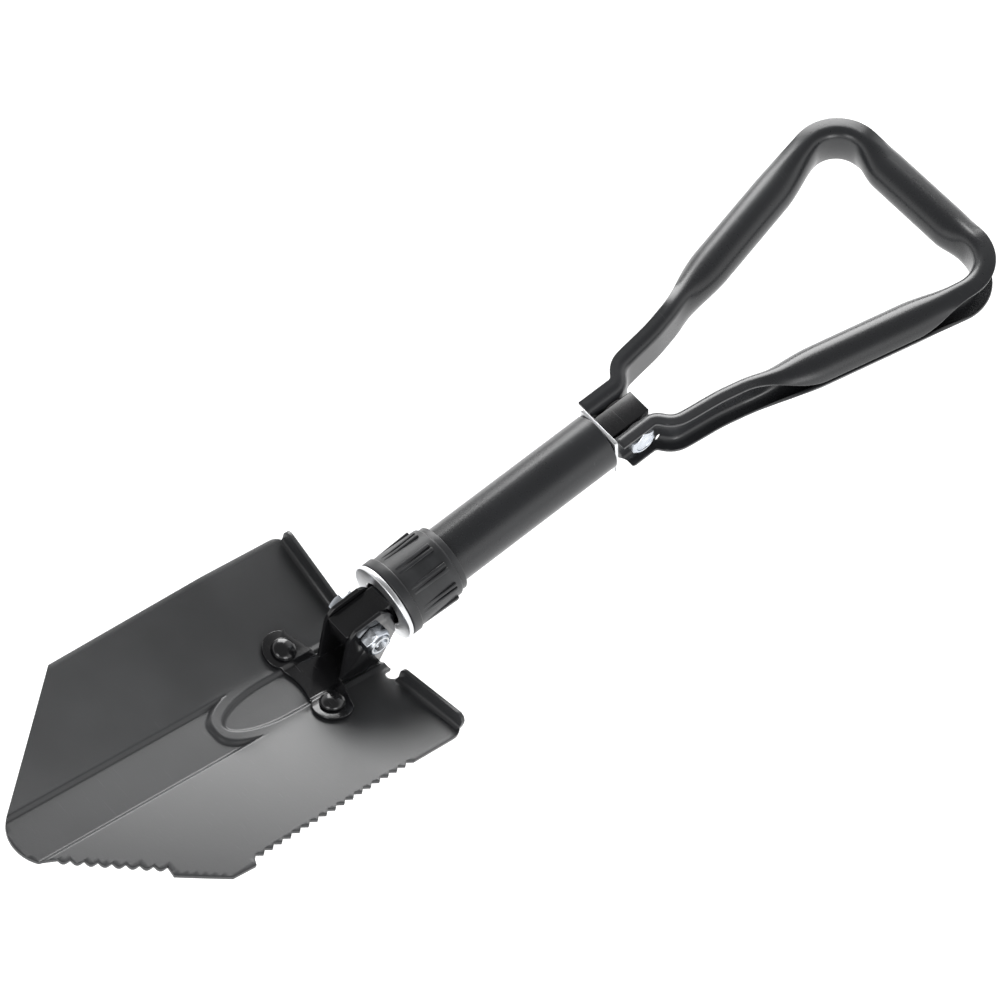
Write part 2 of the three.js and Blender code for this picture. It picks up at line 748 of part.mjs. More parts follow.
// A point of the section, 0 at the middle of the web and 1 at the edge of a flange, as the
// distance outwards, the height, and the direction that the sheet faces there.
function sectionPoint(share, open, depth) {
  const middle = handleTubeRadius - handleGauge / 2;
  const angle = share * (Math.PI - seamGap / 2 / middle);
  const tube = { out: -middle * Math.cos(angle), up: middle * Math.sin(angle) };
  const half = handleHalfHeight - handleGauge / 2;
  const bend = 4;
  const web = -(depth - handleGauge) / 2;
  const flange = depth - handleGauge - bend;
  const quarter = bend * Math.PI / 2;
  const travelled = Math.abs(share) * (half - bend + quarter + flange + 0.9);
  const turn = ramp(travelled - (half - bend), quarter) * Math.PI / 2;
  const along = Math.max(travelled - (half - bend) - quarter, 0);
  const channel = {
    out: web + bend * (1 - Math.cos(turn)) + along,
    up: Math.sign(share) * (Math.min(travelled, half - bend) + bend * Math.sin(turn)),
  };
  const facing = Math.sign(share) * turn;
  const normal = new THREE.Vector2(
    THREE.MathUtils.lerp(-Math.cos(angle), -Math.cos(facing), open),
    THREE.MathUtils.lerp(Math.sin(angle), Math.sin(facing), open)).normalize();
  return {
    out: THREE.MathUtils.lerp(tube.out, channel.out, open),
    up: THREE.MathUtils.lerp(tube.up, channel.up, open),
    normal,
  };
}

function handleSheet() {
  const stations = handleStations();
  const last = stations.length - 1;
  return formed(14, last, (across, along, face) => {
    const i = Math.round((along + 1) / 2 * last);
    const point = stations[i];
    const ahead = stations[Math.min(i + 1, last)];
    const behind = stations[Math.max(i - 1, 0)];
    const run = ahead.clone().sub(behind).normalize();
    const outwards = new THREE.Vector2(-run.y, run.x);
    const { open, inset, depth } = handleSection(point);
    const spot = sectionPoint(-across, open, depth);
    const out = spot.out - inset + face * spot.normal.x * handleGauge / 2;
    const up = spot.up + face * spot.normal.y * handleGauge / 2;
    return new THREE.Vector3(point.x + outwards.x * out, point.y + outwards.y * out, up);
  });
}

// Room for the plate and the tube as the handle swings under the shaft.
function swingRelief(halfWidth, radius) {
  const sector = new THREE.Shape();
  sector.moveTo(-radius, 0);
  sector.absarc(0, 0, radius, Math.PI, Math.PI * 1.99, false);
  sector.lineTo(40, -14);
  sector.lineTo(40, -40);
  sector.lineTo(-40, -40);
  sector.lineTo(-40, 0);
  return solid(sideSlab(sector, -halfWidth, halfWidth).translate(0, shaftLength, 0));
}

function makeHandle() {
  const pinHole = solid(rod(boltHole, -30, 30).translate(0, shaftLength, 0));
  return cutFrom(solid(handleSheet()), pinHole,
    swingRelief(plateSize / 2 + gap, handleSwing),
    swingRelief(tubeRadius + gap, handleSwing + plateThickness + gap));
}

// ---- assembly -----------------------------------------------------------------------------

const tool = new THREE.Group();

const bladeGroup = new THREE.Group();
bladeGroup.applyMatrix4(bladeFrame);
bladeGroup.add(piece('blade', makeBlade(), blackPaint));
for (const place of rivetPlaces()) {
  const name = place.side < 0 ? 'blade_rivet_left' : 'blade_rivet_right';
  bladeGroup.add(piece(name, solid(makeRivet(place)), blackPaint));
}
tool.add(bladeGroup);
tool.add(piece('hinge_bracket', makeBracket(), blackPaint));

// hardware round one pin: which side the bolt's head is on, and the face that it bears on
function addPin(prefix, y, headSide, bearing) {
  const pin = new THREE.Group();
  pin.position.y = y;
  const seat = bearing + gap;
  pin.add(piece(`${prefix}_pin_bolt`, makeBolt(headSide, seat, seat + nutHeight + nutCrownHeight), zinc));
  pin.add(piece(`${prefix}_pin_nut`, makeNut(-headSide, seat), zinc));
  pin.add(piece(`${prefix}_nut_ring`, makeRing(-headSide, seat), nylon));
  pin.add(piece(`${prefix}_pin_sleeve`, makeSleeve(), plainSteel));
  tool.add(pin);
  return pin;
}

addPin('blade', 0, -1, bracketWallOuter);
const handlePin = addPin('handle', shaftLength, 1, legWebOuter);
handlePin.add(piece('handle_bush_left', makeBush(-1), plainSteel));
handlePin.add(piece('handle_bush_right', makeBush(1), plainSteel));

tool.add(piece('stem_channel', makeStem(), blackPaint));
tool.add(piece('shaft_tube', makeTube(), blackPaint));
tool.add(piece('thread_sleeve', makeThreadSleeve(), plainSteel));
tool.add(piece('locking_collar', makeCollar(), blackGrip));
tool.add(piece('collar_washer', makeWasher(), brightZinc));
tool.add(piece('handle_plate', makePlate(), brightZinc));
tool.add(piece('d_handle', makeHandle(), blackPaint));

// Tip the tool about X until its heel and its handle are on one level, then put the middle
// of its footprint at the origin, on z = 0.
function cornersOf(name) {
  tool.updateMatrixWorld(true);
  const mesh = tool.getObjectByName(name);
  const position = mesh.geometry.attributes.position;
  const corners = [];
  for (let i = 0; i < position.count; i += 1) {
    corners.push(new THREE.Vector3().fromBufferAttribute(position, i).applyMatrix4(mesh.matrixWorld));
  }
  return corners;
}

const heel = cornersOf('blade').reduce((low, corner) => (corner.z < low.z ? corner : low));
const restAngle = Math.min(...cornersOf('d_handle')
  .map((corner) => Math.atan2(corner.z - heel.z, corner.y - heel.y)));
tool.rotation.x = -restAngle;

const campShovel = new THREE.Group();
campShovel.add(tool);
campShovel.updateMatrixWorld(true);
const box = new THREE.Box3().setFromObject(campShovel, true);
tool.position.set(0, -(box.min.y + box.max.y) / 2, -box.min.z);
tool.position.x = -(box.min.x + box.max.x) / 2;

export default campShovel;
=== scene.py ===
# %% [markdown]
# # A tri-fold camp shovel
# The real tool is pressed and rolled steel sheet under black paint, with a moulded screw
# collar and a few bright fasteners. The imported model already says where everything is and
# how it moves, so this script only gives each piece its fine surface and its finish. It
# starts by loading that model.

# %% Load the imported model
import json
import math

import bpy
from mathutils import Matrix, Vector


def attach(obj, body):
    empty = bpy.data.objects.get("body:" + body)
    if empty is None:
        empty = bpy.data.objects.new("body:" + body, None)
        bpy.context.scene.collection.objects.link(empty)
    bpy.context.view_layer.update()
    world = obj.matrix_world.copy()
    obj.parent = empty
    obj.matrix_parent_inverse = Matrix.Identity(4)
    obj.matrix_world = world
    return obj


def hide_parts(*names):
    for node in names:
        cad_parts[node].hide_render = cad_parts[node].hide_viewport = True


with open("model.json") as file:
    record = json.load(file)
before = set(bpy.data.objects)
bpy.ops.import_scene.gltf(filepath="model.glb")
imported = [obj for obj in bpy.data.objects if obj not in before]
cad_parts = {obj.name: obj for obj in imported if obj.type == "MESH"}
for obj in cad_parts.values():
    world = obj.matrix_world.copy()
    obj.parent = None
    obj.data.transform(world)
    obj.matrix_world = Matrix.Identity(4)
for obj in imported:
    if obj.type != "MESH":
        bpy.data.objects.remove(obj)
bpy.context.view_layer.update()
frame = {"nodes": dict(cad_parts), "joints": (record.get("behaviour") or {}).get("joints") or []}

# %% [markdown]
# ## The tool's own frame
# The shovel lies on its heel and its handle, so its shaft slopes a little. It is easier to
# model it as if on a bench: X across, Y along the shaft, Z to the front, from the blade's
# pin, with one unit for a millimetre. The two hinge joints give that frame exactly, and every
# finished mesh is moved by it, and made metres, at the end.

# %% The tool's frame, from its two hinge pins
MM = 0.001
pins = {joint["name"]: Vector(joint["pos_m"]) for joint in frame["joints"] if joint.get("pos_m")}
along = (pins["handle_fold"] - pins["blade_fold"]).normalized()
front = Vector((1, 0, 0)).cross(along)
lying = Matrix.Translation(pins["blade_fold"]) @ Matrix((
    (1, along.x, front.x), (0, along.y, front.y), (0, along.z, front.z))).to_4x4()
bench = lying @ Matrix.Scale(MM, 4)
SHAFT_LENGTH = (pins["handle_fold"] - pins["blade_fold"]).length / MM
print("pin to pin:", round(SHAFT_LENGTH, 1), "mm")

# %% [markdown]
# ## Helpers for modelling by hand
# Most steps are the same few menu commands: add a primitive, go into edit mode, pick faces or
# edges by where they are, and use an operator on them. These helpers keep the selection
# clean, because an operator acts on everything that is selected.


# %% Selecting, editing and finishing
def only(piece):
    """Selects one object and nothing else, and makes it active."""
    bpy.ops.object.select_all(action="DESELECT")
    piece.select_set(True)
    bpy.context.view_layer.objects.active = piece
    return piece


def edit(piece, mode="VERT"):
    only(piece)
    bpy.ops.object.mode_set(mode="EDIT")
    bpy.ops.mesh.select_mode(type=mode)
    bpy.ops.mesh.select_all(action="DESELECT")


def done():
    bpy.ops.object.mode_set(mode="OBJECT")


def newest(name):
    piece = bpy.context.active_object
    piece.name = name
    piece.data.name = name
    return piece


def modifier(piece, kind, **settings):
    """Adds one modifier, sets it up and applies it."""
    only(piece)
    added = piece.modifiers.new(kind.title(), kind)
    for setting, value in settings.items():
        setattr(added, setting, value)
    bpy.ops.object.modifier_apply(modifier=added.name)
    return piece


def outwards(piece, merge=0.005):
    """Merges doubled points and turns every face outwards."""
    edit(piece)
    bpy.ops.mesh.select_all(action="SELECT")
    bpy.ops.mesh.remove_doubles(threshold=merge)
    bpy.ops.mesh.normals_make_consistent(inside=False)
    done()
    return piece


def combine(kind, body, cutter):
    """Booleans a closed cutter into a closed body and removes the cutter."""
    modifier(body, "BOOLEAN", operation=kind, solver="MANIFOLD", object=cutter)
    bpy.data.objects.remove(cutter)
    return body


def soften(piece, width, angle=35, segments=2):
    """Rounds the sharp edges a little, as paint and tumbling do."""
    modifier(
        piece, "BEVEL", width=width, segments=segments, limit_method="ANGLE",
        angle_limit=math.radians(angle), use_clamp_overlap=False, miter_outer="MITER_ARC",
    )
    return smooth(piece, angle)


def smooth(piece, angle=35):
    only(piece)
    bpy.ops.object.shade_smooth_by_angle(angle=math.radians(angle))
    return piece


def mesh_from(name, points, faces):
    data = bpy.data.meshes.new(name)
    data.from_pydata([tuple(point) for point in points], [], faces)
    data.update()
    piece = bpy.data.objects.new(name, data)
    bpy.context.scene.collection.objects.link(piece)
    return piece


def prism(name, outline, low, high):
    """A flat outline of (x, y) points, extruded from one height to another."""
    piece = mesh_from(name, [(x, y, low) for x, y in outline], [list(range(len(outline)))])
    edit(piece)
    bpy.ops.mesh.select_all(action="SELECT")
    bpy.ops.mesh.extrude_region_move(TRANSFORM_OT_translate={"value": (0, 0, high - low)})
    done()
    return outwards(piece)


def spun(name, profile, steps=96, middle=(0, 0, 0)):
    """Spins a closed profile of (radius, y) points once round the Y axis."""
    count = len(profile)
    edges = [(i, (i + 1) % count) for i in range(count)]
    data = bpy.data.meshes.new(name)
    data.from_pydata([(radius, y, 0) for radius, y in profile], edges, [])
    piece = bpy.data.objects.new(name, data)
    bpy.context.scene.collection.objects.link(piece)
    edit(piece)
    bpy.ops.mesh.select_all(action="SELECT")
    bpy.ops.mesh.spin(steps=steps, angle=2 * math.pi, center=(0, 0, 0), axis=(0, 1, 0))
    done()
    outwards(piece)
    piece.data.transform(Matrix.Translation(Vector(middle)))
    return piece


def arc(centre, radius, start, end, steps):
    """Points of an arc, angles in degrees."""
    turns = [math.radians(start + (end - start) * i / steps) for i in range(steps + 1)]
    return [(centre[0] + radius * math.cos(t), centre[1] + radius * math.sin(t)) for t in turns]


def ramp(value, run):
    """A soft step from 0 to 1 while value goes from 0 to run."""
    share = min(max(value / run, 0), 1)
    return share * share * (3 - 2 * share)


def mixed(start, end, share):
    return start + (end - start) * share


def moved(piece, place):
    piece.data.transform(place)
    return piece


def copy_of(piece, place):
    """A piece's twin with its own mesh, moved to its own place."""
    twin = piece.copy()
    twin.data = piece.data.copy()
    bpy.context.scene.collection.objects.link(twin)
    return moved(twin, place)


def join(first, *rest):
    """Makes one object of several loose shells."""
    only(first)
    for piece in rest:
        piece.select_set(True)
    bpy.ops.object.join()
    return first


def from_node(node, name):
    """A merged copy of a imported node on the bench, with its flat faces made whole."""
    piece = frame["nodes"][node].copy()
    piece.data = frame["nodes"][node].data.copy()
    piece.name = name
    piece.data.name = name
    piece.parent = None
    for key in list(piece.keys()):
        del piece[key]
    bpy.context.scene.collection.objects.link(piece)
    moved(piece, bench.inverted())
    edit(piece)
    bpy.ops.mesh.select_all(action="SELECT")
    bpy.ops.mesh.remove_doubles(threshold=0.01)
    bpy.ops.mesh.dissolve_limited(angle_limit=math.radians(1))
    done()
    return piece


def fit(piece, body, slot, *nodes, finish=None):
    """Lays a finished piece where the tool lies and says what it is part of."""
    moved(piece, bench)
    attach(piece, body)
    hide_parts(*nodes)
    piece.data.materials.clear()
    piece.data.materials.append(finishes[finish or slot])
    print(piece.name, len(piece.data.polygons), "faces")
    return piece


print("helpers ready")

# %% [markdown]
# ## Writing shaders as sums
# A finish is a sum of patterns, and sums read best as sums. This small class stands for a
# socket of the node tree, so that 1 - mask or noise * 0.2 adds the Math node that it means.


# %% Sockets that can be added and multiplied
class Wire:
    def __init__(self, tree, socket):
        self.tree = tree
        self.socket = socket

    def maths(self, operation, first, second):
        return make(self.tree, "ShaderNodeMath", {"operation": operation}, {0: first, 1: second})

    def __add__(self, other):
        return self.maths("ADD", self, other)

    def __radd__(self, other):
        return self.maths("ADD", other, self)

    def __sub__(self, other):
        return self.maths("SUBTRACT", self, other)

    def __rsub__(self, other):
        return self.maths("SUBTRACT", other, self)

    def __mul__(self, other):
        return self.maths("MULTIPLY", self, other)

    def __rmul__(self, other):
        return self.maths("MULTIPLY", other, self)


def make(tree, kind, settings, sockets, output=0):
    """Adds one node: its settings first, then the value or the link of each socket."""
    node = tree.nodes.new(kind)
    for setting, value in settings.items():
        setattr(node, setting, value)
    for socket, value in sockets.items():
        if isinstance(value, Wire):
            tree.links.new(value.socket, node.inputs[socket])
        else:
            node.inputs[socket].default_value = value
    return Wire(tree, node.outputs[output])


def step(value, low, high):
    """0 below low, 1 above high, and a soft rise between."""
    return make(
        value.tree, "ShaderNodeMapRange", {"interpolation_type": "SMOOTHSTEP"},
        {"Value": value, "From Min": low, "From Max": high})


def blend_colours(share, first, second):
    return make(
        share.tree, "ShaderNodeMix", {"data_type": "RGBA"}, {0: share, 6: first, 7: second}, 2)


def noise(place, scale, detail=2, stretch=(1, 1, 1)):
    """Noise with features of about 1/scale metres, drawn out along an axis by stretch."""
    spot = make(place.tree, "ShaderNodeMapping", {}, {"Vector": place, "Scale": stretch})
    return make(
        place.tree, "ShaderNodeTexNoise", {}, {"Vector": spot, "Scale": scale, "Detail": detail})


def new_finish(name):
    """An empty material: the material, its tree, its shader and the point being shaded."""
    material = bpy.data.materials.new(name)
    material.use_nodes = True
    tree = material.node_tree
    place = make(tree, "ShaderNodeTexCoord", {}, {}, "Object")
    return material, tree, tree.nodes["Principled BSDF"], place


def connect(shader, **wires):
    for socket, wire in wires.items():
        wire.tree.links.new(wire.socket, shader.inputs[socket.replace("_", " ")])


def relief(height, strength, depth):
    """A bump from a height pattern, depth in metres."""
    return make(
        height.tree, "ShaderNodeBump", {},
        {"Strength": strength, "Distance": depth, "Height": height})


def edges(tree):
    """1 on rounded corners and 0 on sheet, flat or rolled, from how the surface bulges."""
    return step(make(tree, "ShaderNodeNewGeometry", {}, {}, "Pointiness"), 0.6, 0.72)


print("shader helpers ready")

# %% [markdown]
# ## Camera and light
# The tool is seen from above, on its right and from the blade's end. A long lens keeps the
# lines nearly parallel. The light is a soft studio: a white floor well below, so that no fold
# of the tool reaches it, and a sky that is bright all round but dim overhead. Black gloss
# paint shows little but what it mirrors, so it is that dark patch that makes it look black,
# and a soft light to the left behind the handle is what the blade's right wing mirrors.

# %% Camera
AIM = Vector((-12.42, 97.81, -13.74)) * MM
CAMERA_TURN = math.radians(53.138)
CAMERA_HEIGHT = math.radians(60.873)
CAMERA_ROLL = math.radians(-3.795)
CAMERA_FAR = 1.91215
LENS = 141.74


def look_from(turn, height, roll, far):
    """A camera's place and turn in the tool's frame, in metres, round the point AIM."""
    towards = Vector((
        math.cos(height) * math.sin(turn), -math.cos(height) * math.cos(turn), math.sin(height)))
    across = Matrix.Rotation(roll, 3, towards) @ Vector((math.cos(turn), math.sin(turn), 0))
    upwards = towards.cross(across)
    place = Matrix((across, upwards, towards)).transposed().to_4x4()
    place.translation = AIM + towards * far
    return place


lens = bpy.data.cameras.new("camera")
lens.lens = LENS
lens.clip_end = 50
camera = bpy.data.objects.new("camera", lens)
camera.matrix_world = lying @ look_from(CAMERA_TURN, CAMERA_HEIGHT, CAMERA_ROLL, CAMERA_FAR)
bpy.context.scene.collection.objects.link(camera)
bpy.context.scene.camera = camera
print("camera at", [round(value, 3) for value in camera.matrix_world.translation])

# %% Floor, sky and lights
FLOOR_DROP = 0.26
FLOOR_GLOW = 0.55
blade_middle = lying @ Vector((0, -0.12, -0.03))


def soft_light(name, direction, far, size, power):
    """A square soft light that faces the blade from a direction in the tool's frame."""
    lamp = bpy.data.lights.new(name, "AREA")
    lamp.shape = "SQUARE"
    lamp.size = size
    lamp.energy = power
    light = bpy.data.objects.new(name, lamp)
    bpy.context.scene.collection.objects.link(light)
    away = (lying.to_3x3() @ Vector(direction)).normalized()
    light.rotation_euler = away.to_track_quat("Z", "Y").to_euler()
    light.location = blade_middle + away * far
    return light


soft_light("wing_light", (-0.66, 0.69, 0.31), far=1.5, size=0.9, power=18)
soft_light("tip_light", (0.2, -0.75, 0.65), far=1.8, size=0.8, power=7)
soft_light("side_light", (0.95, -0.1, 0.35), far=1.8, size=0.8, power=8)

# The sky's strength level with the tool and overhead, and the heights between which it
# changes, 0 level and 1 straight up.
HORIZON = 1.15
OVERHEAD = 0.22
DIM_FROM = 0.28
DIM_TO = 0.74
sky = bpy.data.worlds.new("studio")
sky.use_nodes = True
direction = make(sky.node_tree, "ShaderNodeTexCoord", {}, {}, "Generated")
elevation = make(sky.node_tree, "ShaderNodeSeparateXYZ", {}, {"Vector": direction}, "Z")
background = sky.node_tree.nodes["Background"]
background.inputs["Color"].default_value = (1, 1, 1, 1)
brightness = HORIZON - step(elevation, DIM_FROM, DIM_TO) * (HORIZON - OVERHEAD)
sky.node_tree.links.new(brightness.socket, background.inputs["Strength"])
bpy.context.scene.world = sky
bpy.context.scene.view_settings.view_transform = "Standard"

bpy.ops.object.select_all(action="DESELECT")
bpy.ops.mesh.primitive_plane_add(size=30, location=(0, 0, -FLOOR_DROP))
floor = newest("floor")
paper = bpy.data.materials.new("white_paper")
paper.use_nodes = True
paper_shader = paper.node_tree.nodes["Principled BSDF"]
paper_shader.inputs["Roughness"].default_value = 1
paper_shader.inputs["Emission Color"].default_value = (1, 1, 1, 1)
paper_shader.inputs["Emission Strength"].default_value = FLOOR_GLOW
floor.data.materials.append(paper)
print("floor", FLOOR_DROP, "m under the tool")

# %% [markdown]
# ## Finishes
# The tool has few finishes, but none is one flat colour. The black is a stoved paint: a
# slightly uneven film with a fine orange peel, a little dust in its gloss, hair scratches
# from handling, and a lighter grey on the rounded edges, which is partly a thinner film and
# partly a painted highlight along them. The hinge's sheet and rivets have a thicker and
# glossier coat. Zinc plate is cloudy and faintly blue. The collar is moulded plastic with a
# fine grain.

# %% Black paint


def black_paint(name, film, gloss, peel):
    """Stoved black paint: film is its colour, gloss its roughness, peel its orange peel."""
    material, tree, shader, place = new_finish(name)
    cloud = noise(place, 14, 3)
    fine = noise(place, 420, 3)
    scratches = step(noise(place, 60, 2, (1, 26, 9)), 0.66, 0.74) * step(cloud, 0.45, 0.6)
    # Lighter grey on the rounded edges: partly edge wear, partly a painted highlight along them.
    edge_wear_and_highlight = edges(tree) * step(noise(place, 160, 3), 0.35, 0.6)
    dark = tuple(value * 0.85 for value in film)
    light = tuple(value * 1.2 for value in film)
    body = blend_colours(step(cloud, 0.3, 0.7), (*dark, 1), (*light, 1))
    scuffed = blend_colours(scratches * 0.25, body, (0.10, 0.10, 0.105, 1))
    colour = blend_colours(edge_wear_and_highlight * 0.7, scuffed, (0.16, 0.16, 0.165, 1))
    rough = gloss + (cloud - 0.5) * 0.10 + (fine - 0.5) * 0.05 + scratches * 0.08
    bumps = noise(place, 750, 2) * 0.7 + noise(place, 190, 2) * 0.3
    connect(shader, Base_Color=colour, Roughness=rough, Normal=relief(bumps, peel, 0.00012))
    shader.inputs["Specular IOR Level"].default_value = 0.62
    return material


finishes = {
    "painted_blade": black_paint("blade_paint", (0.034, 0.035, 0.037), 0.36, 0.20),
    "painted_frame": black_paint("frame_paint", (0.020, 0.021, 0.023), 0.28, 0.16),
    "painted_hinge": black_paint("hinge_paint", (0.010, 0.010, 0.011), 0.17, 0.08),
}
print("paints:", sorted(finishes))

# %% Zinc, steel, plastic and nylon


def metal(name, bright, dull, rough, grain, tint=(0, 0, 0)):
    """Plated or machined metal with clouds, fine grain and a few stains."""
    material, tree, shader, place = new_finish(name)
    cloud = noise(place, 120, 4)
    fine = noise(place, 1500, 2, grain)
    stain = step(noise(place, 55, 5), 0.56, 0.72)
    shine = blend_colours(step(cloud, 0.3, 0.7), (*bright, 1), (*dull, 1))
    stained = tuple(min(value * 0.8 + extra, 1) for value, extra in zip(dull, tint))
    colour = blend_colours(stain * 0.45, shine, (*stained, 1))
    connect(
        shader, Base_Color=colour, Roughness=rough + (cloud - 0.5) * 0.16 + stain * 0.08,
        Normal=relief(fine, 0.12, 0.00005))
    shader.inputs["Metallic"].default_value = 1
    return material


def moulded(name, colour, rough, grain_scale, strength):
    """Moulded plastic: even colour with faint flow marks and a fine matt grain."""
    material, tree, shader, place = new_finish(name)
    flow = noise(place, 45, 3, (1, 3, 1))
    grain = noise(place, grain_scale, 2)
    rubbed = edges(tree) * step(noise(place, 220, 3), 0.3, 0.6)
    dark = tuple(value * 0.85 for value in colour)
    light = tuple(min(value * 1.15, 1) for value in colour)
    pale = tuple(min(value * 1.6 + 0.03, 1) for value in colour)
    body = blend_colours(step(flow, 0.35, 0.65), (*dark, 1), (*light, 1))
    connect(
        shader, Base_Color=blend_colours(rubbed * 0.6, body, (*pale, 1)),
        Roughness=rough + (flow - 0.5) * 0.1 - rubbed * 0.06,
        Normal=relief(grain, strength, 0.0001))
    return material


finishes["bright_zinc"] = metal(
    "bright_zinc", (0.86, 0.87, 0.88), (0.78, 0.79, 0.81), 0.34, (1, 1, 1))
finishes["zinc_plate"] = metal(
    "zinc_plate", (0.72, 0.75, 0.79), (0.56, 0.60, 0.66), 0.24, (1, 4, 1), (0.03, 0.02, -0.02))
finishes["plain_steel"] = metal(
    "plain_steel", (0.52, 0.52, 0.53), (0.38, 0.38, 0.39), 0.32, (1, 8, 1), (0.03, 0.01, 0))
finishes["collar_black"] = moulded("collar_plastic", (0.026, 0.027, 0.029), 0.40, 900, 0.25)
finishes["nylon"] = moulded("nylon", (0.80, 0.82, 0.84), 0.42, 700, 0.15)
print("finishes:", sorted(finishes))

# %% [markdown]
# ## The blade
# The real blade is one pressed sheet: two flat wings, a channel down the middle, and in the
# channel's top a deeper pocket with a tapered end that takes the hinge bracket. A height for
# each point is all such a sheet is, so it is a grid whose points are moved by a formula, with
# its lines close together where the press bends the steel. The grid is then given its gauge by
# extruding it, and a flat outline cuts it to shape, as a blanking die does.

# %% Heights of the pressed sheet
BLADE_TILT = math.radians(17.3)
HEEL_BEHIND_PIN = 3.3
HEEL_BELOW_PIN = 31.8
BLADE_GAUGE = 2
HALF_WIDTH = 70
SIDE_LENGTH = 141
BLADE_LENGTH = 211.4
WING_SLOPE = 0.222
SHOULDER_SLOPE = 0.12
STEEP_LENGTH = 50
CHANNEL_HALF = 14.7
CHANNEL_DEPTH = 2
POCKET_HALF = 12
POCKET_DEPTH = 1.8
POCKET_TAPER = 56
POCKET_END = 90
RIDGE = 4
PRESSED_WALL = 2.4
CREASE_ROUNDING = 4
SHEET_HALF = HALF_WIDTH + 6
SHEET_END = 213
FINE_HALF = 18
FINE_FROM = POCKET_TAPER - 2
FINE_TO = POCKET_END + 9
heel = Matrix.Translation((0, HEEL_BEHIND_PIN, -HEEL_BELOW_PIN))
blade_place = heel @ Matrix.Rotation(-BLADE_TILT, 4, "X")


def inside_pocket(x, down):
    """How far a point lies inside the pocket's edge: straight sides, then a tapered end."""
    past = down - POCKET_TAPER
    if past <= 0:
        return POCKET_HALF - abs(x)
    long = POCKET_END - POCKET_TAPER
    place = math.hypot(x / POCKET_HALF, past / long)
    return (1 - place) * place / math.hypot(x / POCKET_HALF ** 2, past / long ** 2)


def blade_front(x, down):
    """Height of the blade's front face, down from its top edge."""
    side = abs(x)
    flattened = max(down - STEEP_LENGTH, 0) / (SIDE_LENGTH - STEEP_LENGTH)
    rise = side - CHANNEL_HALF
    beside_pocket = ramp(down - POCKET_TAPER + 10, 10) * (1 - ramp(down - POCKET_END + 10, 20))
    rise = (rise + math.hypot(rise, CREASE_ROUNDING * beside_pocket)) / 2
    land = CHANNEL_DEPTH + mixed(WING_SLOPE, SHOULDER_SLOPE, flattened) * rise
    inside = inside_pocket(x, down)
    pocket = POCKET_DEPTH * ramp(inside, PRESSED_WALL)
    past = -inside - RIDGE if down > POCKET_TAPER else -1
    channel = CHANNEL_DEPTH * ramp(min(CHANNEL_HALF - side, past), PRESSED_WALL)
    return land - max(pocket, channel)


def stations(*runs):
    """Places along a line, from runs of (start, end, steps)."""
    found = [start + (end - start) * i / steps for start, end, steps in runs for i in range(steps)]
    return found + [runs[-1][1]]


def pressed_grid(name, across, down, height, gauge):
    """A grid over uneven stations, lifted to its heights and extruded back by its gauge."""
    bpy.ops.object.select_all(action="DESELECT")
    bpy.ops.mesh.primitive_grid_add(
        x_subdivisions=len(across) - 1, y_subdivisions=len(down) - 1, size=2)
    sheet = newest(name)
    for point in sheet.data.vertices:
        x = across[round((point.co.x + 1) / 2 * (len(across) - 1))]
        below = down[round((1 - point.co.y) / 2 * (len(down) - 1))]
        point.co = (x, -below, height(x, below))
    edit(sheet)
    bpy.ops.mesh.select_all(action="SELECT")
    bpy.ops.mesh.extrude_region_move(TRANSFORM_OT_translate={"value": (0, 0, -gauge)})
    done()
    return outwards(sheet)


blade = pressed_grid(
    "blade_sheet",
    stations(
        (-SHEET_HALF, -FINE_HALF, 20), (-FINE_HALF, FINE_HALF, 72), (FINE_HALF, SHEET_HALF, 20)),
    stations((-3, FINE_FROM, 18), (FINE_FROM, FINE_TO, 75), (FINE_TO, SHEET_END, 36)),
    blade_front, BLADE_GAUGE)
print("pressed sheet:", len(blade.data.polygons), "faces")

# %% [markdown]
# ## The blade's edge
# One side is a saw with a hook behind its last tooth, then a plain facet and a run of
# scallops down to the round tip; the other side is plain. The repeats are loops, so that
# each tooth is the same.

# %% Outline of the blade
CORNER = 8
TIP_RADIUS = 20.5
NOTCH_CENTRE = 20
NOTCH_RADIUS = 3.2
NOTCH_DEPTH = 5.2
SAW_START = 33
SAW_TEETH = 18
SAW_PITCH = 5.3
SAW_DEPTH = 2.2
HOOK_OUT = 3
HOOK_LENGTH = 14
FACET_RUN = 17
SCALLOPS = 8
SCALLOP_DEPTH = 1.7
tip_side = TIP_RADIUS * math.sqrt(0.5)
tip_down = BLADE_LENGTH - TIP_RADIUS + tip_side


def notch(side):
    floor_y = NOTCH_RADIUS - NOTCH_DEPTH
    bowl = arc((side * NOTCH_CENTRE, floor_y), NOTCH_RADIUS, 180, 360, 14)
    edge = [(side * NOTCH_CENTRE - NOTCH_RADIUS, 0), *bowl, (side * NOTCH_CENTRE + NOTCH_RADIUS, 0)]
    return edge


def saw():
    points = []
    for tooth in range(SAW_TEETH):
        start = SAW_START + tooth * SAW_PITCH
        points += [(HALF_WIDTH, -start), (HALF_WIDTH - SAW_DEPTH, -(start + SAW_PITCH * 0.55))]
    return points


def scalloped(top, bottom, slope):
    """Shallow bites between cusps, down the slanting edge of the point."""
    bite_length = (bottom - top) / SCALLOPS
    points = []
    for bite in range(SCALLOPS):
        for share in range(10):
            below = top + (bite + share / 10) * bite_length
            deep = SCALLOP_DEPTH * (1 - math.sin(share / 10 * math.pi))
            edge = HALF_WIDTH - (below - SIDE_LENGTH) * slope
            points.append((edge - deep, -(below - deep * slope)))
    return points


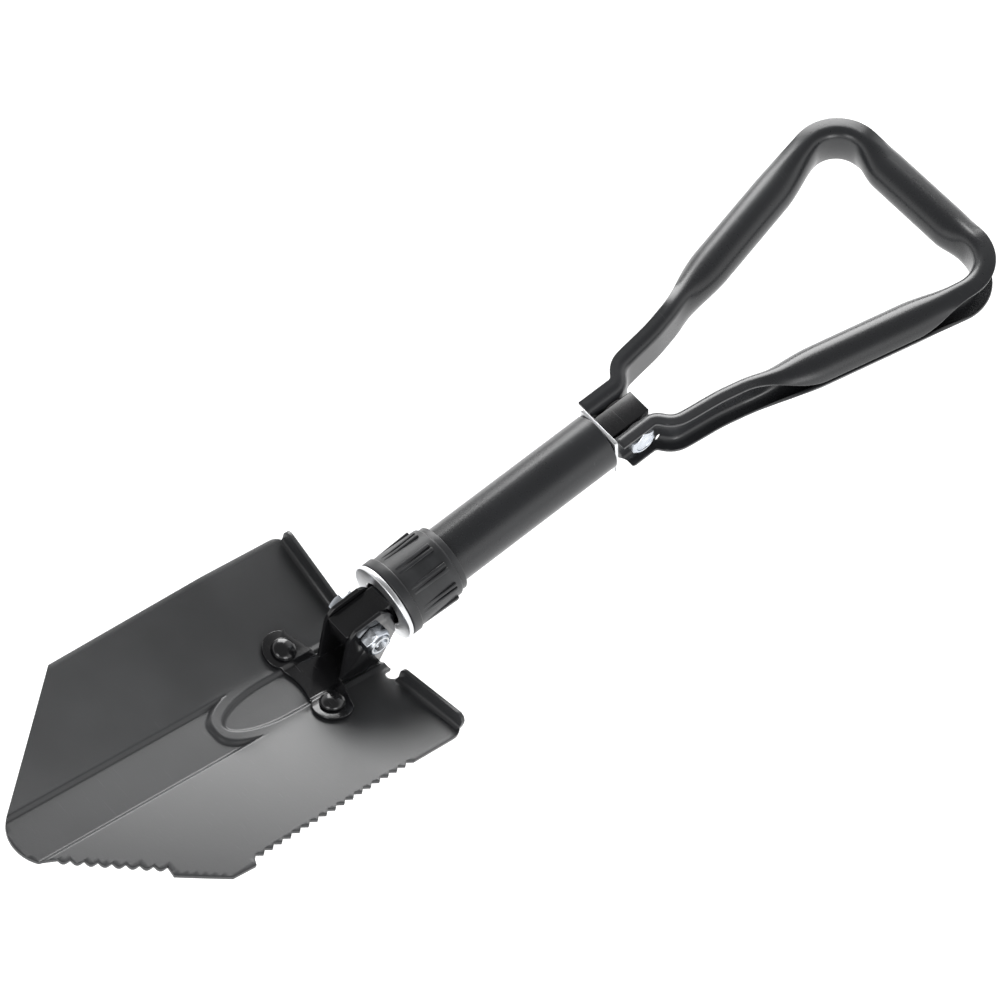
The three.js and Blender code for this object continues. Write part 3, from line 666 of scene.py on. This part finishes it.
def blade_outline():
    slope = (HALF_WIDTH - tip_side) / (tip_down - SIDE_LENGTH)
    saw_end = SAW_START + SAW_TEETH * SAW_PITCH
    hook = HALF_WIDTH + HOOK_OUT
    facet_end = SIDE_LENGTH + (HALF_WIDTH - (hook - 1 - FACET_RUN)) / slope + 4.5
    corner = HALF_WIDTH - CORNER
    return [
        *notch(-1), *notch(1),
        *arc((corner, -CORNER), CORNER, 90, 0, 10),
        *saw(), (HALF_WIDTH, -saw_end), (hook, -(saw_end + 1.5)),
        (hook - 1, -(saw_end + HOOK_LENGTH)), (hook - 1 - FACET_RUN, -facet_end),
        *scalloped(facet_end + 0.5, tip_down - 4, slope),
        *arc((0, TIP_RADIUS - BLADE_LENGTH), TIP_RADIUS, -45, -135, 28),
        (-HALF_WIDTH, -SIDE_LENGTH),
        *arc((-corner, -CORNER), CORNER, 180, 90, 10),
    ]


combine("INTERSECT", blade, prism("outline", blade_outline(), -30, 60))
print("cut sheet:", len(blade.data.polygons), "faces")

# %% [markdown]
# ## The foot rests
# Two lips are folded up from the top edge. The fold has a round outside and a fillet inside,
# which a plain wall standing on the sheet would lack, so the section of the fold is drawn once
# and extruded up the slope of the wing, and its ends are trimmed to their round corners.

# %% Folded lips
LIP_HEIGHT = 8
LIP_START = 24
LIP_END = HALF_WIDTH - CORNER * 0.5
FOLD = 2.6


def fold_section():
    outer = arc((-FOLD, FOLD - BLADE_GAUGE), FOLD, -90, 0, 8)
    inner = arc((-BLADE_GAUGE - FOLD, FOLD), FOLD, 0, -90, 8)
    top = [(0, LIP_HEIGHT + 12), (-BLADE_GAUGE, LIP_HEIGHT + 12)]
    return [*outer, *top, *inner, (-BLADE_GAUGE - FOLD, -BLADE_GAUGE)]


def lip_outline():
    """What is kept of a lip, seen from the handle: round corners, and a top along the wing."""
    low = blade_front(LIP_START, 0)
    high = blade_front(LIP_END, 0)
    return [
        (LIP_START, low - 6), (LIP_END, high - 6), (LIP_END + 1.4, high + 3),
        (LIP_END + 1.3, high + 5.2), (LIP_END + 0.2, high + LIP_HEIGHT - 0.9),
        (LIP_END - 1.8, high + LIP_HEIGHT - 0.1), (LIP_END - 4, high + LIP_HEIGHT - 0.5),
        *arc((LIP_START + 4, low + LIP_HEIGHT - 3.2), 4, 100, 180, 8),
    ]


def lip(side):
    section = [(LIP_START - 1, y, z + blade_front(LIP_START - 1, 0)) for y, z in fold_section()]
    piece = mesh_from("lip", section, [list(range(len(section)))])
    edit(piece)
    bpy.ops.mesh.select_all(action="SELECT")
    length = LIP_END + 3 - LIP_START
    bpy.ops.mesh.extrude_region_move(
        TRANSFORM_OT_translate={"value": (length, 0, length * WING_SLOPE)})
    done()
    outwards(piece)
    trim = moved(prism("trim", lip_outline(), -5, 12), Matrix.Rotation(math.pi / 2, 4, "X"))
    combine("INTERSECT", piece, trim)
    return outwards(moved(piece, Matrix.Diagonal((side, 1, 1, 1))))


for side in (-1, 1):
    combine("UNION", blade, lip(side))
soften(blade, 0.14, angle=48)
moved(blade, blade_place)
fit(blade, "blade", "painted_blade", "blade")

# %% [markdown]
# ## The hinge bracket and the channel
# Both are folded sheet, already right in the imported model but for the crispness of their
# facets. A merged copy keeps their exact shape, and a rounded edge of the width that paint
# leaves is what makes folded steel look like steel, since it catches a thin line of light.

# %% Folded bracket and inner channel
bracket = soften(from_node("hinge_bracket", "bracket_sheet"), 0.45, angle=28, segments=3)
fit(bracket, "blade", "painted_frame", "hinge_bracket", finish="painted_hinge")
stem = soften(from_node("stem_channel", "stem_sheet"), 0.6, angle=28, segments=3)
fit(stem, "shaft", "painted_frame", "stem_channel", finish="painted_hinge")

# %% [markdown]
# ## Rivets
# A snap rivet has a domed head over a short cylindrical rim, and its tail is upset into a low
# button behind the blade. One section spun round its axis makes both, and the second rivet is
# a copy of the first.

# %% Rivets
RIVET_ACROSS = 19
RIVET_DOWN = 39
RIVET_HEAD = 6.3
RIVET_HIGH = 3.9
RIVET_SEAT = 2.9
rivet_section = [
    (0, -4.3), *arc((3.4, -3.3), 1, -90, 0, 5), (4.6, -2.35), (2.9, -2.3), (2.9, RIVET_SEAT),
    (RIVET_HEAD - 0.3, RIVET_SEAT), (RIVET_HEAD, RIVET_SEAT + 0.35),
    *[(RIVET_HEAD * math.cos(turn), RIVET_SEAT + 0.35 + (RIVET_HIGH - 0.35) * math.sin(turn))
      for turn in [math.radians(degrees) for degrees in range(8, 90, 8)]],
    (0, RIVET_SEAT + RIVET_HIGH),
]
for side, name in ((-1, "left"), (1, "right")):
    rivet = smooth(spun("rivet_" + name, rivet_section, 64), 40)
    lean = -side * math.atan(WING_SLOPE)
    wing_height = blade_front(RIVET_ACROSS, RIVET_DOWN)
    on_wing = Matrix.Translation((side * RIVET_ACROSS, -RIVET_DOWN, wing_height))
    square = Matrix.Rotation(lean, 4, "Y") @ Matrix.Rotation(math.pi / 2, 4, "X")
    moved(rivet, blade_place @ on_wing @ square)
    fit(rivet, "blade", "painted_frame", "blade_rivet_" + name, finish="painted_hinge")

# %% [markdown]
# ## Bolts and lock nuts
# A hexagon is six flats, but a real head also has a turned chamfer on its corners, a dished
# top and a thread past the nut. Each is a turned shape cut with the hexagon: where the two
# meet they leave the curved arcs that the eye knows from every bolt.

# %% Hexagons, turned shapes and threads across the tool
BOLT_RADIUS = 4
HEX_ACROSS = 13
HEAD_HIGH = 5.3
NUT_HIGH = 6
CROWN_HIGH = 1.7
THREAD_DEPTH = 0.68
GAP = 0.3
SIDEWAYS = Matrix(((0, 0, 1, 0), (1, 0, 0, 0), (0, 1, 0, 0), (0, 0, 0, 1)))
ACROSS = Matrix.Rotation(-math.pi / 2, 4, "Z")


def hexagon_bar(name, low, high):
    corner = HEX_ACROSS / math.sqrt(3)
    turns = [math.radians(60 * side + 30) for side in range(6)]
    outline = [(corner * math.cos(turn), corner * math.sin(turn)) for turn in turns]
    return moved(prism(name, outline, low, high), SIDEWAYS)


def turned_across(name, profile, steps=64):
    return moved(spun(name, profile, steps), ACROSS)


def thread(start, end, crest, pitch=1.25):
    """Points down a threaded rod's outside, one ring to a pitch."""
    points = []
    place = start
    while place + pitch <= end:
        points += [
            (crest - THREAD_DEPTH, place), (crest, place + pitch * 0.4),
            (crest, place + pitch * 0.6)]
        place += pitch
    return points


def bolt(name, seat, end):
    """A bolt on +X with its head outside seat and its thread out to -end."""
    corner = HEX_ACROSS / math.sqrt(3)
    head = hexagon_bar(name, seat, seat + HEAD_HIGH)
    chamfer = [
        (0, seat - 0.5), (corner - 0.35, seat - 0.5), (corner - 0.35, seat),
        (corner + 0.6, seat + 0.9), (corner + 0.6, seat + HEAD_HIGH - 1.25),
        (HEX_ACROSS / 2 - 0.5, seat + HEAD_HIGH), (0, seat + HEAD_HIGH)]
    combine("INTERSECT", head, turned_across("chamfer", chamfer))
    dish = [
        (0, seat + HEAD_HIGH - 0.7), *arc((4.2, seat + HEAD_HIGH + 0.1), 0.8, -90, 0, 5),
        (5, seat + HEAD_HIGH + 2), (0, seat + HEAD_HIGH + 2)]
    combine("DIFFERENCE", head, turned_across("dish", dish))
    soften(head, 0.14, angle=25)
    shank = [
        (0, -end), (BOLT_RADIUS - 1, -end), *thread(-end + 0.8, -seat + 1, BOLT_RADIUS),
        (BOLT_RADIUS - 0.02, -seat + 2), (BOLT_RADIUS - 0.02, seat + 0.2), (0, seat + 0.2)]
    return join(head, smooth(turned_across("shank", shank, 48), 60))


def nut(name, seat):
    """A lock nut on -X: hexagon, turned crown, and the groove that holds its ring."""
    corner = HEX_ACROSS / math.sqrt(3)
    top = NUT_HIGH + CROWN_HIGH
    body = hexagon_bar(name, -seat - NUT_HIGH, -seat)
    chamfer = [
        (0, -seat + 0.5), (corner - 0.4, -seat + 0.5), (corner - 0.4, -seat),
        (corner + 0.5, -seat - 0.8), (corner + 0.5, -seat - NUT_HIGH + 1.3),
        (HEX_ACROSS / 2 - 0.4, -seat - NUT_HIGH), (0, -seat - NUT_HIGH)]
    combine("INTERSECT", body, turned_across("chamfer", list(reversed(chamfer))))
    crown = [
        (0, -seat - NUT_HIGH + 0.8), (HEX_ACROSS / 2 - 0.45, -seat - NUT_HIGH + 0.8),
        (HEX_ACROSS / 2 - 0.45, -seat - NUT_HIGH - 0.5),
        *arc((HEX_ACROSS / 2 - 1.75, -seat - top + 1.3), 1.3, 0, -90, 6), (0, -seat - top)]
    combine("UNION", body, turned_across("crown", crown))
    bore = [
        (0, -seat + 1), (BOLT_RADIUS + GAP, -seat + 1), (BOLT_RADIUS + GAP, -seat - NUT_HIGH + 0.6),
        (BOLT_RADIUS + 1.6, -seat - NUT_HIGH + 0.6), (BOLT_RADIUS + 1.6, -seat - top - 1),
        (0, -seat - top - 1)]
    combine("DIFFERENCE", body, turned_across("bore", bore))
    return soften(body, 0.14, angle=25)


def nut_ring(name, seat):
    low = seat + NUT_HIGH - 0.3
    high = seat + NUT_HIGH + CROWN_HIGH - 0.4
    inner, outer = BOLT_RADIUS + GAP, BOLT_RADIUS + 1.3
    section = [
        (inner, -low), (outer, -low), (outer, -high + 0.3),
        *arc((outer - 0.3, -high + 0.3), 0.3, 0, -90, 4),
        *arc((inner + 0.3, -high + 0.3), 0.3, -90, -180, 4)]
    return smooth(turned_across(name, section))


print("turned shapes ready")

# %% Hardware of both pins
STEM_HALF = 7
WALL_GAUGE = 2
BUSH = 1
HANDLE_GAUGE = 1.8
bracket_outer = STEM_HALF + GAP + WALL_GAUGE
leg_inner = STEM_HALF + 2 * GAP + BUSH
leg_web_outer = leg_inner + HANDLE_GAUGE
other_way = Matrix.Rotation(math.pi, 4, "Z")
for pin, body, bearing, place in (
    ("blade", "blade", bracket_outer, other_way),
    ("handle", "handle", leg_web_outer, Matrix.Translation((0, SHAFT_LENGTH, 0))),
):
    seat = bearing + GAP
    tail = seat + NUT_HIGH + CROWN_HIGH
    made = (
        (bolt(pin + "_bolt", seat, tail), "zinc_plate", "_pin_bolt"),
        (nut(pin + "_nut", seat), "zinc_plate", "_pin_nut"),
        (nut_ring(pin + "_ring", seat), "nylon", "_nut_ring"))
    for piece, slot, node in made:
        fit(moved(piece, place), body, slot, pin + node)

# %% [markdown]
# ## Spacers inside
# Short tubes on the bolts keep the channel from being crushed, and thin bushes take up the
# room between the channel and the handle's legs. They are turned rings with broken corners.

# %% Sleeves and bushes


def tube_section(inner, outer, low, high, corner=0.25):
    """Section of a turned ring with its four corners broken."""
    return [
        (inner + corner, low), (outer - corner, low), (outer, low + corner),
        (outer, high - corner), (outer - corner, high), (inner + corner, high),
        (inner, high - corner), (inner, low + corner)]


bolt_hole = BOLT_RADIUS + GAP
sleeve_half = STEM_HALF - 2 - GAP
for pin, y in (("blade", 0), ("handle", SHAFT_LENGTH)):
    section = tube_section(bolt_hole, bolt_hole + 2, -sleeve_half, sleeve_half)
    sleeve = turned_across(pin + "_sleeve", section)
    moved(smooth(sleeve), Matrix.Translation((0, y, 0)))
    fit(sleeve, "shaft", "plain_steel", pin + "_pin_sleeve")
for side, name in ((-1, "left"), (1, "right")):
    ends = sorted((side * (STEM_HALF + GAP), side * (STEM_HALF + GAP + BUSH)))
    bush = turned_across("bush_" + name, tube_section(bolt_hole, bolt_hole + 3.4, *ends, 0.15))
    moved(smooth(bush), Matrix.Translation((0, SHAFT_LENGTH, 0)))
    fit(bush, "handle", "plain_steel", "handle_bush_" + name)

# %% [markdown]
# ## Tube, thread, washer and plate
# Everything round the shaft's axis is turned: a section spun once round. The tube's ends are
# rolled a little inwards, and the washer's rims are rounded because they are what shines.

# %% Turned pieces round the shaft
TUBE_RADIUS = 15
TUBE_WALL = 1.4
THREAD_HIGH = 1.4
THREAD_PITCH = 2
WASHER_RADIUS = 20.5
WASHER_THICK = 3
PIN_TO_WASHER = 14.6
COLLAR_TRAVEL = 6
COLLAR_LENGTH = 35
PLATE_SIZE = 26
PLATE_THICK = 2
PIN_TO_PLATE = 14.5
STEM_TOP = 9
washer_rear = PIN_TO_WASHER + WASHER_THICK
tube_start = washer_rear + COLLAR_TRAVEL + GAP
plate_rear = SHAFT_LENGTH - PIN_TO_PLATE
tube_end = plate_rear - PLATE_THICK - GAP
collar_front = washer_rear + GAP
collar_rear = collar_front + COLLAR_LENGTH
thread_radius = TUBE_RADIUS + GAP + THREAD_HIGH
washer_bore = math.hypot(STEM_HALF, STEM_TOP) + 0.5

tube = spun("shaft_tube_skin", tube_section(
    TUBE_RADIUS - TUBE_WALL, TUBE_RADIUS, tube_start, tube_end, 0.4), 128)
fit(smooth(tube), "shaft", "painted_frame", "shaft_tube")

washer_section = [
    *arc((WASHER_RADIUS - 0.8, PIN_TO_WASHER + 0.8), 0.8, -90, 0, 6),
    *arc((WASHER_RADIUS - 0.8, washer_rear - 0.8), 0.8, 0, 90, 6),
    (washer_bore + 0.4, washer_rear), (washer_bore, washer_rear - 0.4),
    (washer_bore, PIN_TO_WASHER + 0.4), (washer_bore + 0.4, PIN_TO_WASHER)]
fit(smooth(spun("washer_ring", washer_section, 128)), "washer", "bright_zinc", "collar_washer")


def thread_section():
    start = tube_start + 0.5
    turns = int((collar_rear - 5 - start) / THREAD_PITCH)
    root = thread_radius - 0.7
    points = [(TUBE_RADIUS + GAP, start), (root, start)]
    for turn in range(turns):
        y = start + turn * THREAD_PITCH
        points += [(thread_radius, y + 0.8), (thread_radius, y + 1.2), (root, y + THREAD_PITCH)]
    return points + [(TUBE_RADIUS + GAP, start + turns * THREAD_PITCH)]


fit(smooth(spun("thread_rings", thread_section(), 96), 30), "shaft", "plain_steel", "thread_sleeve")
plate = soften(from_node("handle_plate", "plate"), 0.3, angle=30, segments=3)
fit(plate, "shaft", "bright_zinc", "handle_plate")

# %% [markdown]
# ## The screw collar
# The grip is moulded: a plain band at the washer, then a body that narrows a little towards
# the handle, a chamfer and a thin lip. Its ribs come in pairs. One rib is shaped from a cube
# with all its edges rounded, stood on the body, and copied round.

# %% Collar
BAND_LENGTH = 5.5
BAND_WALL = 3.5
BODY_WALL = 2.6
END_WALL = 1.4
RIB_PAIRS = 10
RIB_SPACING = 2.9
RIB_LENGTH = 21
RIB_WIDTH = 1.9
RIB_HIGH = 0.9
collar_bore = thread_radius + GAP
band_end = collar_front + BAND_LENGTH
band_radius = collar_bore + BAND_WALL
body_radius = collar_bore + BODY_WALL
end_radius = collar_bore + END_WALL
collar_section = [
    (collar_bore, collar_front), (band_radius - 0.7, collar_front),
    *arc((band_radius - 0.7, collar_front + 0.7), 0.7, -80, 0, 6),
    *arc((band_radius - 0.6, band_end - 0.9), 0.6, 0, 60, 4),
    *arc((body_radius + 0.5, band_end + 0.2), 0.5, 250, 180, 5),
    *arc((end_radius - 0.2, collar_rear - 4.4), 0.6, 0, 70, 5),
    *arc((end_radius - 0.4, collar_rear - 3.0), 0.4, 240, 180, 4),
    *arc((end_radius - 1.5, collar_rear - 0.7), 0.7, 10, 90, 5),
    (TUBE_RADIUS + GAP, collar_rear), (TUBE_RADIUS + GAP, collar_rear - 3),
    (collar_bore, collar_rear - 3)]
collar = smooth(spun("collar_grip", collar_section, 160), 50)
bpy.ops.object.select_all(action="DESELECT")
bpy.ops.mesh.primitive_cube_add(size=1)
rib = newest("rib")
moved(rib, Matrix.Diagonal((RIB_WIDTH, RIB_LENGTH, 2 * RIB_HIGH, 1)))
edit(rib, "EDGE")
bpy.ops.mesh.select_all(action="SELECT")
bpy.ops.mesh.bevel(offset=0.5, segments=3)
done()
smooth(rib, 40)
narrowing = math.atan2(body_radius - end_radius, COLLAR_LENGTH)
stand = (
    Matrix.Translation((0, band_end + 1.5 + RIB_LENGTH / 2, (body_radius + end_radius) / 2))
    @ Matrix.Rotation(narrowing, 4, "X"))
ribs = []
for pair in range(RIB_PAIRS):
    for offset in (-0.5, 0.5):
        turn = pair / RIB_PAIRS * 2 * math.pi + offset * RIB_SPACING / body_radius
        ribs.append(copy_of(rib, Matrix.Rotation(turn, 4, "Y") @ stand))
bpy.data.objects.remove(rib)
fit(join(collar, *ribs), "collar", "collar_black", "locking_collar")
print(len(ribs), "ribs")

# %% [markdown]
# ## The D-handle
# The whole handle is one strip of sheet. Its legs are open channels, its arms are the same
# strip rolled into a tube with a seam, it opens again at the corners, and the grip is a tube
# once more. So it is a section that changes along a path: a strip of grid is bent, station by
# station, from tube to channel and back, which no ready-made sweep does.

# %% Path of the handle
HANDLE_REACH = 195.5
ROLL_RADIUS = 10.5
HALF_HEIGHT = 13
LEG_DEPTH = 8.4
CORNER_DEPTH = 10.8
LEG_INSET = 2.2
FLARE_START = HEX_ACROSS / 2 + 2
FLARE_END = 14.5
KNEE_X = 20.9
LEG_SLOPE = 0.2316
BEND_RADII = (19, 13, 6.5)
PACE = 1.6
SEAM = 2
grip_y = SHAFT_LENGTH + HANDLE_REACH


def rounded_path(points, radii, pace):
    """Points along a line with round corners, about pace apart."""
    spots = [Vector(points[0])]
    for before, at, after, radius in zip(points, points[1:], points[2:], radii):
        at = Vector(at)
        arrive = (at - Vector(before)).normalized()
        leave = (Vector(after) - at).normalized()
        turn = math.atan2(arrive.x * leave.y - arrive.y * leave.x, arrive.dot(leave))
        reach = radius * math.tan(abs(turn) / 2)
        start = at - arrive * reach
        side = Vector((-arrive.y, arrive.x)) * math.copysign(1, turn)
        middle = start + side * radius
        count = max(4, round(abs(turn) * radius / pace))
        straight = max(1, round((start - spots[-1]).length / pace))
        run = start - spots[-1]
        last = spots[-1]
        spots += [last + run * (i / straight) for i in range(1, straight + 1)]
        for i in range(1, count + 1):
            swing = Matrix.Rotation(turn * i / count, 2)
            spots.append(middle + swing @ (start - middle))
    last, finish = spots[-1], Vector(points[-1])
    count = max(1, round((finish - last).length / pace))
    spots += [last + (finish - last) * i / count for i in range(1, count + 1)]
    return spots


leg_centre = leg_inner + LEG_DEPTH / 2
corner = (KNEE_X + LEG_SLOPE * (grip_y - SHAFT_LENGTH - FLARE_END), grip_y)
half_path = rounded_path(
    [(0, grip_y), corner, (KNEE_X, SHAFT_LENGTH + FLARE_END),
     (leg_centre, SHAFT_LENGTH + FLARE_START), (leg_centre, plate_rear + GAP)],
    BEND_RADII, PACE)
path = [Vector((-spot.x, spot.y)) for spot in reversed(half_path[1:])] + half_path
print("handle path:", len(path), "stations")

# %% Section of the handle
LEG_OPEN_TO = 52
LEG_CLOSING = 40
CORNER_OPENING = 0.85
INSET_RUN = 30


def opening(spot):
    """How far the strip has opened, 0 a tube and 1 a channel, its depth and its inset."""
    leg = 1 - ramp(spot.y - (SHAFT_LENGTH + LEG_OPEN_TO), LEG_CLOSING)
    to_grip = grip_y - spot.y
    bend = ramp(abs(spot.x) - 22, 20) * (1 - ramp(to_grip - 18, 36)) * CORNER_OPENING
    depth = mixed(CORNER_DEPTH, LEG_DEPTH, ramp(to_grip - 55, 10))
    inset = LEG_INSET * leg * ramp(spot.y - (SHAFT_LENGTH + FLARE_END), INSET_RUN)
    return max(leg, bend), depth, inset


def strip_point(share, opened, depth):
    """The strip's middle at share -1 to 1 of its width: outwards, up, and where it faces."""
    middle = ROLL_RADIUS - HANDLE_GAUGE / 2
    angle = share * (math.pi - SEAM / 2 / middle)
    half = HALF_HEIGHT - HANDLE_GAUGE / 2
    bend = 4
    web = -(depth - HANDLE_GAUGE) / 2
    quarter = bend * math.pi / 2
    travelled = abs(share) * (half - bend + quarter + depth - HANDLE_GAUGE - bend + 0.9)
    turn = min(max((travelled - (half - bend)) / quarter, 0), 1) * math.pi / 2
    along_flange = max(travelled - (half - bend) - quarter, 0)
    side = math.copysign(1, share)
    channel_out = web + bend * (1 - math.cos(turn)) + along_flange
    channel_up = side * (min(travelled, half - bend) + bend * math.sin(turn))
    facing = Vector((
        mixed(-math.cos(angle), -math.cos(side * turn), opened),
        mixed(math.sin(angle), math.sin(side * turn), opened))).normalized()
    return (
        mixed(-middle * math.cos(angle), channel_out, opened),
        mixed(middle * math.sin(angle), channel_up, opened), facing)


def handle_strip(wide):
    """A closed sheet: a grid along the path and round the section, both faces and its edges."""
    rings = []
    for i, spot in enumerate(path):
        run = (path[min(i + 1, len(path) - 1)] - path[max(i - 1, 0)]).normalized()
        outward = Vector((-run.y, run.x))
        opened, depth, inset = opening(spot)
        ring = []
        for face in (1, -1):
            for j in range(wide + 1):
                share = (2 * j / wide - 1) * face
                out, high, facing = strip_point(share, opened, depth)
                out += face * facing.x * HANDLE_GAUGE / 2 - inset
                high += face * facing.y * HANDLE_GAUGE / 2
                ring.append((*(spot + outward * out), high))
        rings.append(ring)
    around = len(rings[0])
    points = [point for ring in rings for point in ring]
    faces = [
        (i * around + j, i * around + (j + 1) % around,
         (i + 1) * around + (j + 1) % around, (i + 1) * around + j)
        for i in range(len(rings) - 1) for j in range(around)]
    last = (len(rings) - 1) * around
    for j in range(wide):
        faces.append((j + 1, j, around - 1 - j, around - 2 - j))
        faces.append((last + j, last + j + 1, last + around - 2 - j, last + around - 1 - j))
    return outwards(mesh_from("handle_strip", points, faces), 0.001)


handle = soften(handle_strip(60), 0.4, angle=45)
print("handle strip:", len(handle.data.polygons), "faces")

# %% [markdown]
# The legs' lower ends are relieved where the plate and the tube sweep past them as the handle
# folds under the shaft, and the bolt goes through both. The last relief goes right across, so
# that the first two leave no steps at the very end.

# %% Cuts in the handle


def swing_relief(half_width, radius, end, beyond):
    """What lies outside an arc round the pin, from the tube's side under it to its end."""
    sector = [*arc((0, 0), radius, 180, end, 40), *beyond, (-40, -40), (-40, 0)]
    piece = moved(prism("relief", sector, -half_width, half_width), SIDEWAYS)
    return moved(piece, Matrix.Translation((0, SHAFT_LENGTH, 0)))


swing = PIN_TO_PLATE - GAP
RELIEF_END = 358.2
under_leg = [(40, -14), (40, -40)]
for half_width, radius, end, beyond in (
    (PLATE_SIZE / 2 + GAP, swing, RELIEF_END, under_leg),
    (TUBE_RADIUS + GAP, swing + PLATE_THICK + GAP, RELIEF_END, under_leg),
    (30, swing, 270, [(0, -40)]),
):
    combine("DIFFERENCE", handle, swing_relief(half_width, radius, end, beyond))
hole = turned_across("hole", [(0, -30), (bolt_hole, -30), (bolt_hole, 30), (0, 30)])
combine("DIFFERENCE", handle, moved(hole, Matrix.Translation((0, SHAFT_LENGTH, 0))))
smooth(handle, 45)
fit(handle, "handle", "painted_frame", "d_handle")
